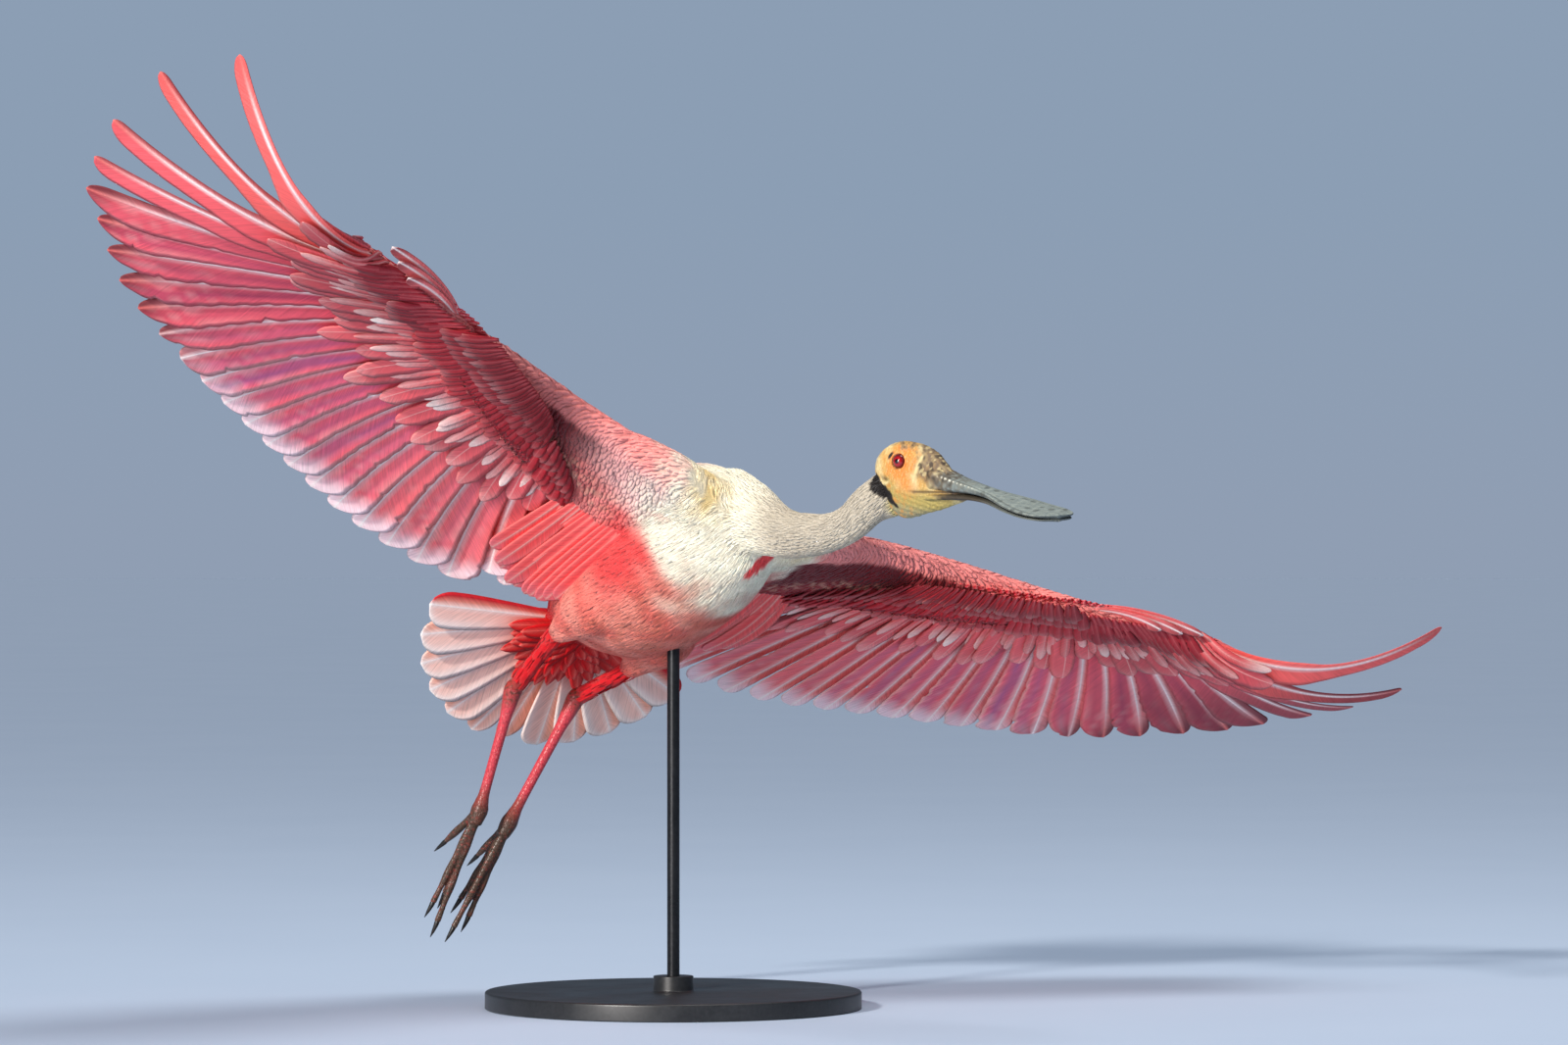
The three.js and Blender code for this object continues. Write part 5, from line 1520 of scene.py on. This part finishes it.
def buildTail():
    # twelve fanned feathers, the middle two on top, with three tiers of coverts below and above
    middle = (tail["count"] - 1) / 2
    k = np.arange(tail["count"])
    turns = np.radians(tail["spread"] * (k - middle) / middle)
    outward = np.sign(k - middle)
    central = np.abs(turns) < 0.2
    lift = np.where(central & (outward > 0), 4.0, 0.0)
    inner = np.where(central, 12, 20.0)
    batch, run = fanBlades(turns, outward, tail["from"], tail["length"] + 6, 13.5, inner, 0, lift,
                           profile=tail["profile"], stations=50, thick=0.5, camber=1.8, ridge=0.6)
    w = batch["ring"]
    rank = np.abs(k - middle)[:, None, None] / middle
    tint = np.broadcast_to(plumage["peach"], batch["points"].shape)
    tint = blend(tint, plumage["white"], smooth(0.35, 0.95, -w) * smooth(0.3, 0.8, run))
    tint = blend(tint, plumage["orange"], smooth(0.05, 0.3, w) * (1 - 0.35 * run) * 0.85)
    tint = blend(tint, sRgb(232, 96, 84), (1 - smooth(0.15, 0.6, run)) * 0.7)
    tint = blend(tint, plumage["white"], smooth(0.93, 1.0, run) * 0.7)
    tint = blend(tint, plumage["edge"], smooth(0.25, 0.6, w) * smooth(0.95, 1.0, rank))
    tint = blend(tint, plumage["orange"], (1 - smooth(0.0, 0.45, rank)) * 0.35)
    tint = shaftMark(batch, tint, sRgb(252, 240, 236), 1.0)
    featherPiece("tailFeathers", batch, tint, "tail_feathers", nodes=("tail",))
    rows, tints = [], []
    tiers = [
        (17, 0.92, 10, 66, -6.5, sRgb(204, 26, 28), 1), (15, 0.85, 4, 52, -9.0, plumage["vent"], 2),
        (13, 0.75, -6, 36, -11.0, plumage["vent"], 3), (15, 0.9, 10, 60, 6.5, sRgb(206, 40, 58), 4),
        (13, 0.8, 2, 46, 9.0, plumage["carmine"], 5), (11, 0.7, -8, 30, 11.0, plumage["carmine"], 6),
    ]
    for count, share, start, stop, offset, colour, seed in tiers:
        draw = np.random.default_rng(seed)
        turns = np.radians(tail["spread"]) * share * (np.linspace(-1, 1, count) + draw.normal(0, 0.03, count))
        stops = stop * (1 + draw.uniform(-0.16, 0.1, count))
        lift = draw.uniform(-1, 1, count)
        row, run = fanBlades(turns, np.sign(turns + 1e-6), start, stops, 6.5, 8.5, offset, lift,
                             stations=16, columns=plainColumns, profile=tail["covertProfile"])
        rows.append(row)
        mood = draw.uniform(-1, 1, (count, 1, 1, 1))
        tint = np.broadcast_to(colour, row["points"].shape) * (1 + 0.15 * mood)
        tints.append(shaftMark(row, tint, sRgb(238, 110, 100), 0.6))
    featherPiece("tailCoverts", joinBatches(rows), np.concatenate(tints), "tail_feathers")
    print("tail")


axillar = {
    "count": 12, "rootFrom": (52, 60, -6), "rootTo": (36, 110, 10),
    "tips": [[0, -72, 52, -22], [0.3, -92, 64, -16], [0.6, -92, 84, -9], [1, -66, 122, -2]],
    "outer": 9, "inner": 11,
}


def buildAxillars(side):
    # long soft feathers from the armpit, fanned under the wing beside the body
    a = axillar
    draw = np.random.default_rng(60 + side)
    t = np.linspace(0, 1, a["count"]) + draw.normal(0, 0.012, a["count"])
    rootFrom, rootTo = np.array(a["rootFrom"], float), np.array(a["rootTo"], float)
    root = rootFrom + (rootTo - rootFrom) * t[:, None]
    tip = through(a["tips"], t) + draw.normal(0, 2.0, (a["count"], 3))
    up = np.broadcast_to(np.array([0, 0, 1.0]), root.shape)
    batch, run = freeBlades(root, tip, up, a["outer"], a["inner"], -6.0, 4.0, lead=-1, tilt=8, stations=40)
    w = batch["ring"]
    tint = blend(sRgb(242, 74, 76), sRgb(250, 128, 122), smooth(0.3, 1.0, np.abs(w)) * 0.6)
    tint = blend(tint, sRgb(232, 120, 130), smooth(0.75, 1.0, run) * 0.7)
    tint = shaftMark(batch, tint, sRgb(244, 176, 164), 0.6)
    featherPiece("axillars_" + sideName(side), batch, tint, "wing_feathers", side)


# rows of scapulars: count, how far the roots lie back, length and height
scapularRows = [(12, 0, 92, 4), (11, 22, 76, 8), (9, 44, 58, 11)]


def buildScapulars(side):
    # overlapping rows from the shoulder back over the wing's root, above
    draw = np.random.default_rng(64 + side)
    rows, tints = [], []
    for count, back, length, height in scapularRows:
        t = np.linspace(0, 1, count)
        root = np.stack([50 - 8 * t + back * 0.6, 38 + 64 * t, 43 - 26 * t + height * 0.4], -1)
        tip = root + np.stack([-length * (1 - 0.35 * t**2), 4 + 6 * t, -16 + 8 * t], -1)
        tip = tip + draw.normal(0, 2.5, (count, 3)) * [1, 0.5, 0.15]
        up = np.broadcast_to(np.array([0, 0.35, 1.0]), root.shape)
        row, run = freeBlades(root, tip, up, 10, 10, 3.5, 2.0, tilt=4, stations=20,
                              columns=plainColumns, ridge=0.15)
        rows.append(row)
        tint = np.broadcast_to(sRgb(246, 190, 186), row["points"].shape)
        outward = np.linspace(0.3, 0.9, count)[:, None, None]
        tint = blend(tint, sRgb(232, 104, 112), smooth(0.35, 1.0, run) * outward)
        tints.append(shaftMark(row, tint, plumage["shaft"], 0.7, 0.7))
    batch, tint = joinBatches(rows), np.concatenate(tints)
    featherPiece("scapulars_" + sideName(side), batch, tint, "wing_feathers", side)


def thinOut(points, spacing, seed):
    # at most one point in each cell of two shifted grids, chosen at random; spacing may vary by point
    order = np.random.default_rng(seed).permutation(len(points))
    kept = order
    for shift in (0.0, 0.5):
        cell = np.floor(points[kept] / spacing[kept, None] + shift).astype(np.int64)
        level = np.round(np.log(spacing[kept]) * 8).astype(np.int64)
        key = ((cell[:, 0] * 4001 + cell[:, 1]) * 4001 + cell[:, 2]) * 97 + level
        _, first = np.unique(key, return_index=True)
        kept = kept[np.sort(first)]
    return kept


def sampleSkin(points, faceSets, normals, density, seed):
    # random points on the skin, density per square millimetre
    draw = np.random.default_rng(seed)
    halves = [[f[:, :3], f[:, [0, 2, -1]]] if f.shape[1] == 4 else [f[:, :3]] for f in faceSets]
    triangles = np.concatenate([half for pair in halves for half in pair])
    a, b, c = points[triangles[:, 0]], points[triangles[:, 1]], points[triangles[:, 2]]
    area = np.linalg.norm(np.cross(b - a, c - a), axis=1) / 2
    count = int(area.sum() * density)
    pick = np.searchsorted(np.cumsum(area), draw.uniform(0, area.sum(), count))
    s, t = np.sqrt(draw.uniform(0, 1, count)), draw.uniform(0, 1, count)
    weights = np.stack([1 - s, s * (1 - t), s * t], 1)
    place = sum(weights[:, k:k + 1] * points[triangles[pick, k]] for k in range(3))
    normal = unit(sum(weights[:, k:k + 1] * normals[triangles[pick, k]] for k in range(3)))
    return place, normal


def snapper(target):
    # puts points on the skin's nearest place, and gives the normal there
    def snap(points):
        mesh = bpy.data.meshes.new("probe")
        mesh.vertices.add(len(points))
        mesh.vertices.foreach_set("co", toWorld(points).astype(np.float32).ravel())
        probe = bpy.data.objects.new("probe", mesh)
        bpy.context.scene.collection.objects.link(probe)
        wrap = probe.modifiers.new("wrap", "SHRINKWRAP")
        wrap.target = target
        wrap.wrap_method = "NEAREST_SURFACEPOINT"
        places = []
        for mode, offset in (("ON_SURFACE", 0.0), ("OUTSIDE_SURFACE", 0.01)):
            wrap.wrap_mode = mode
            wrap.offset = offset
            depsgraph = bpy.context.evaluated_depsgraph_get()
            depsgraph.update()
            result = probe.evaluated_get(depsgraph).data
            co = np.empty(len(points) * 3, np.float32)
            result.vertices.foreach_get("co", co)
            places.append(toBody(co.reshape(-1, 3).astype(float)))
        bpy.data.objects.remove(probe)
        bpy.data.meshes.remove(mesh)
        return places[0], unit(places[1] - places[0])
    return snap


def flow(p):
    # lie of the coat: back along the trunk, down the neck, out and back over the wing
    i = np.arange(-5, 22).astype(float)
    root = featherRoot(i)
    wingLie = unit(through(wing["tips"], np.maximum(i, -4)) - root)
    span = np.abs(p[:, 1])
    trunk = np.tile(np.array([-1.0, 0, 0]), (len(p), 1))
    line = neckLine(120)
    tangent = -unit(np.gradient(line[:, :3], axis=0))
    onNeck = np.stack([np.interp(p[:, 0], line[:, 0], tangent[:, k]) for k in range(3)], -1)
    body = unit(blend(trunk, onNeck, smooth(96, 130, p[:, 0])))
    arm = np.stack([np.interp(span, root[:, 1], wingLie[:, k]) for k in range(3)], -1)
    outwards = np.array([0.35, 0.93, 0.05])
    edge = smooth(26, 4, armEdges(span)[0] - p[:, 0])
    arm = blend(arm, outwards, 0.55 * edge)
    arm[:, 1] *= np.sign(p[:, 1])
    return unit(blend(body, unit(arm), onArm(p)))


def growTufts(snap, place, normal, length, wide, root, rise, steps, jitter, seed):
    # each tuft's middle line crawls over the skin along the lie and rises a little off it
    draw = np.random.default_rng(seed)
    twist = draw.normal(0, jitter, (len(place), 1))
    here, out = place, normal
    line, normals = [here + out * root], [out]
    for step in range(1, steps + 1):
        direction = flow(here)
        direction = unit(direction - out * (direction * out).sum(-1, keepdims=True))
        direction = unit(direction + np.cross(out, direction) * twist)
        here, out = snap(here + direction * length[:, None] / steps)
        height = root + (rise - root) * (step / steps) ** 0.7
        line.append(here + out * np.reshape(height, (-1, 1)))
        normals.append(out)
    centre = np.stack(line, 1)
    normals = np.stack(normals, 1)
    along = unit(np.gradient(centre, axis=1))
    lead = unit(np.cross(normals, along))
    normals = unit(np.cross(along, lead))
    t = np.linspace(0, 1, steps + 1)[None]
    shape = np.maximum(through([[0, 0.35], [0.35, 0.9], [0.7, 1], [1, 0.6]], t) * roundedEnd(t, 0.7), 0.06)
    half = wide[:, None] / 2 * shape
    return centre, lead, normals, half, t


tuftColumns = np.array([-1.0, 0.0, 1.0])


def chart(p):
    # unwrap of the skin's own shape: trunk and neck by length and angle, each wing arm by span and chord
    x, y, z = p.T
    angle = np.arctan2(z + 8, y) / (2 * np.pi) + 0.5
    trunk = np.stack([0.01 + 0.46 * (x + 150) / 460, 0.01 + 0.95 * angle], -1)
    base = np.where(y > 0, 0.5, 0.75)
    armPlace = np.stack([base + 0.24 * np.clip((x + 70) / 270, 0, 1),
                         0.01 + 0.48 * np.clip((np.abs(y) - 60) / 400, 0, 1) + np.where(z > 12, 0.5, 0)], -1)
    return np.where((onArm(p) > 0.5)[:, None], armPlace, trunk)


def tuftPiece(name, slot, seed, snap, place, normal, length, wide, root, rise,
              steps=5, shade=0.06, jitter=0.08):
    # one coat piece: a blade on each tuft's line, coloured by the markings under it
    centre, lead, normals, half, t = growTufts(
        snap, place, normal, length, wide, root, rise, steps, jitter, seed)
    batch = blades(centre, lead, normals, half, half, tuftColumns, 0.2, 0.6, 0.0)
    draw = np.random.default_rng(seed + 1)
    mood = 1 + shade * draw.uniform(-1, 1, (len(place), 1, 1, 1))
    tipTint = coatTint(centre.reshape(-1, 3), normals.reshape(-1, 3)).reshape(centre.shape)
    run = t[..., None, None]
    tint = tipTint[:, :, None] * mood * (0.95 + 0.08 * run)
    tint = np.broadcast_to(tint, batch["points"].shape)
    return featherPiece(name, batch, tint, slot, 1, softMaterial, "patch", chart(place))


coat = {
    "trunk": {"spacing": 3.4, "length": 14.0, "width": 4.2, "rise": 0.22},
    "neck": {"spacing": 2.6, "length": 7.0, "width": 2.4, "rise": 0.22},
    "wing": {"spacing": 3.4, "length": 11.0, "width": 3.8, "rise": 0.3},
    "neckFrom": 118, "wingTo": 424, "napSpacing": 2.5,
}


def buildCoat(skinObject):
    # contour feathers set by thinned-out random points on the skin, then fine strands over trunk and neck
    snap = snapper(skinObject)
    place, normal = sampleSkin(bodySkinPoints, bodySkinFaces, bodySkinNormals, 1.2, 100)
    onNeck = (place[:, 0] > coat["neckFrom"]) & (np.abs(place[:, 1]) < 40) & (onArm(place) < 0.5)
    onWing = onArm(place) >= 0.5
    spacing = np.select([onNeck, onWing], [coat[part]["spacing"] for part in ("neck", "wing")],
                        coat["trunk"]["spacing"])
    kept = thinOut(place, spacing, 101)
    place, normal, onNeck, onWing = place[kept], normal[kept], onNeck[kept], onWing[kept]
    trunk = ~onNeck & ~onWing
    draw = np.random.default_rng(102)
    length, wide, rise = (
        np.select([onNeck, onWing], [coat["neck"][key], coat["wing"][key]], coat["trunk"][key])
        for key in ("length", "width", "rise"))
    length = length * draw.uniform(0.85, 1.2, len(place))
    wide = wide * draw.uniform(0.85, 1.15, len(place))
    span = np.abs(place[:, 1])
    length = length * np.where(onWing, 1 - 0.5 * smooth(300, 430, span), 1)
    rise = rise * np.where(trunk, 1 - 0.3 * smooth(10, 60, place[:, 0]), 1)
    leftSide, inner = place[:, 1] > 0, span < coat["wingTo"]
    for label, chosen, slot, seed in (
        ("contourTrunk_left", trunk & leftSide, "body_feathers", 110),
        ("contourTrunk_right", trunk & ~leftSide, "body_feathers", 112),
        ("contourNeck", onNeck, "neck_feathers", 114),
        ("contourWing_left", onWing & leftSide & inner, "wing_feathers", 118),
        ("contourWing_right", onWing & ~leftSide & inner, "wing_feathers", 122),
    ):
        tuftPiece(label, slot, seed, snap, place[chosen], normal[chosen], length[chosen], wide[chosen],
                  -0.15, rise[chosen], jitter=0.035)
        print("coat:", label, int(chosen.sum()))
    # fine strands over trunk and neck, which give the silky nap
    place, normal = sampleSkin(bodySkinPoints, bodySkinFaces, bodySkinNormals, 0.5, 130)
    free = onArm(place) < 0.5
    place, normal = place[free], normal[free]
    kept = thinOut(place, np.full(len(place), coat["napSpacing"]), 131)
    place, normal = place[kept], normal[kept]
    onNeck = place[:, 0] > coat["neckFrom"]
    leftSide = place[:, 1] > 0
    for label, chosen, slot, seed in (
        ("napTrunk_left", ~onNeck & leftSide, "body_feathers", 134),
        ("napTrunk_right", ~onNeck & ~leftSide, "body_feathers", 136),
        ("napNeck", onNeck, "neck_feathers", 138),
    ):
        count = int(chosen.sum())
        draw = np.random.default_rng(seed)
        length = draw.uniform(0.7, 1.25, count) * np.where(onNeck[chosen], 6.5, 12.0)
        wide = draw.uniform(0.7, 1.3, count) * np.where(onNeck[chosen], 0.6, 0.8)
        rise = draw.uniform(0.25, 0.55, count) * np.where(onNeck[chosen], 0.8, 1.0)
        tuftPiece(label, slot, seed, snap, place[chosen], normal[chosen], length, wide, 0.2, rise,
                  steps=3, shade=0.1, jitter=0.07)
        print("nap:", label, count)


buildStand()
print("stand")

headPoints, headFaces, headTints = buildHead()
headFaces = rightSideOut(headPoints, headFaces)
offset = len(bodySkinPoints)
allPoints = np.concatenate([bodySkinPoints, headPoints])
allTints = np.concatenate([bodySkinTint, headTints])
allFaces = bodySkinFaces + [faces + offset for faces in headFaces]
indices = np.repeat([0, 1], [sum(len(f) for f in faceSets) for faceSets in (bodySkinFaces, headFaces)])
skinMaterials = [skinMaterial(), bareSkinMaterial()]
skinPiece = makeObject("skin", allPoints, allFaces, skinMaterials, np.clip(allTints, 0, 1),
                       materialIndex=indices)
settle(skinPiece, "head_skin", "torso", "neck", "head")
print("skin and head")

for lower in (False, True):
    points, faces, tint = buildBill(lower)
    name = "billLower" if lower else "billUpper"
    piece = makeObject(name, points, faces, [billMaterial()], tint)
    settle(piece, "bill", "bill_lower" if lower else "bill_upper")

for side, label in ((1, "left"), (-1, "right")):
    points, faces, tint = buildEye(side)
    piece = makeObject("eye" + label, points, faces, [eyeMaterial()], tint)
    settle(piece, "eye", "eye_" + label)
print("bill and eyes")

scales = legMaterial()
for label in legs:
    points, faces = buildLegSkin(label)
    piece = makeObject("legSkin_" + label, points, faces, [scales], legTint(points, label))
    settle(piece, "leg_skin", "shank_" + label, "tarsus_" + label, "foot_" + label)
points, faces = buildClaws()
claws = makeObject("claws", points, faces, [clawMaterial()])
settle(claws, "claw", *[f"claw_{label}_{toe}" for label in legs for toe in toes])
print("legs and claws")

for side in (1, -1):
    buildWing(side)
    buildAxillars(side)
    buildScapulars(side)
    buildAlula(side)
buildTail()
buildLegFeathers()
buildCoat(skinPiece)
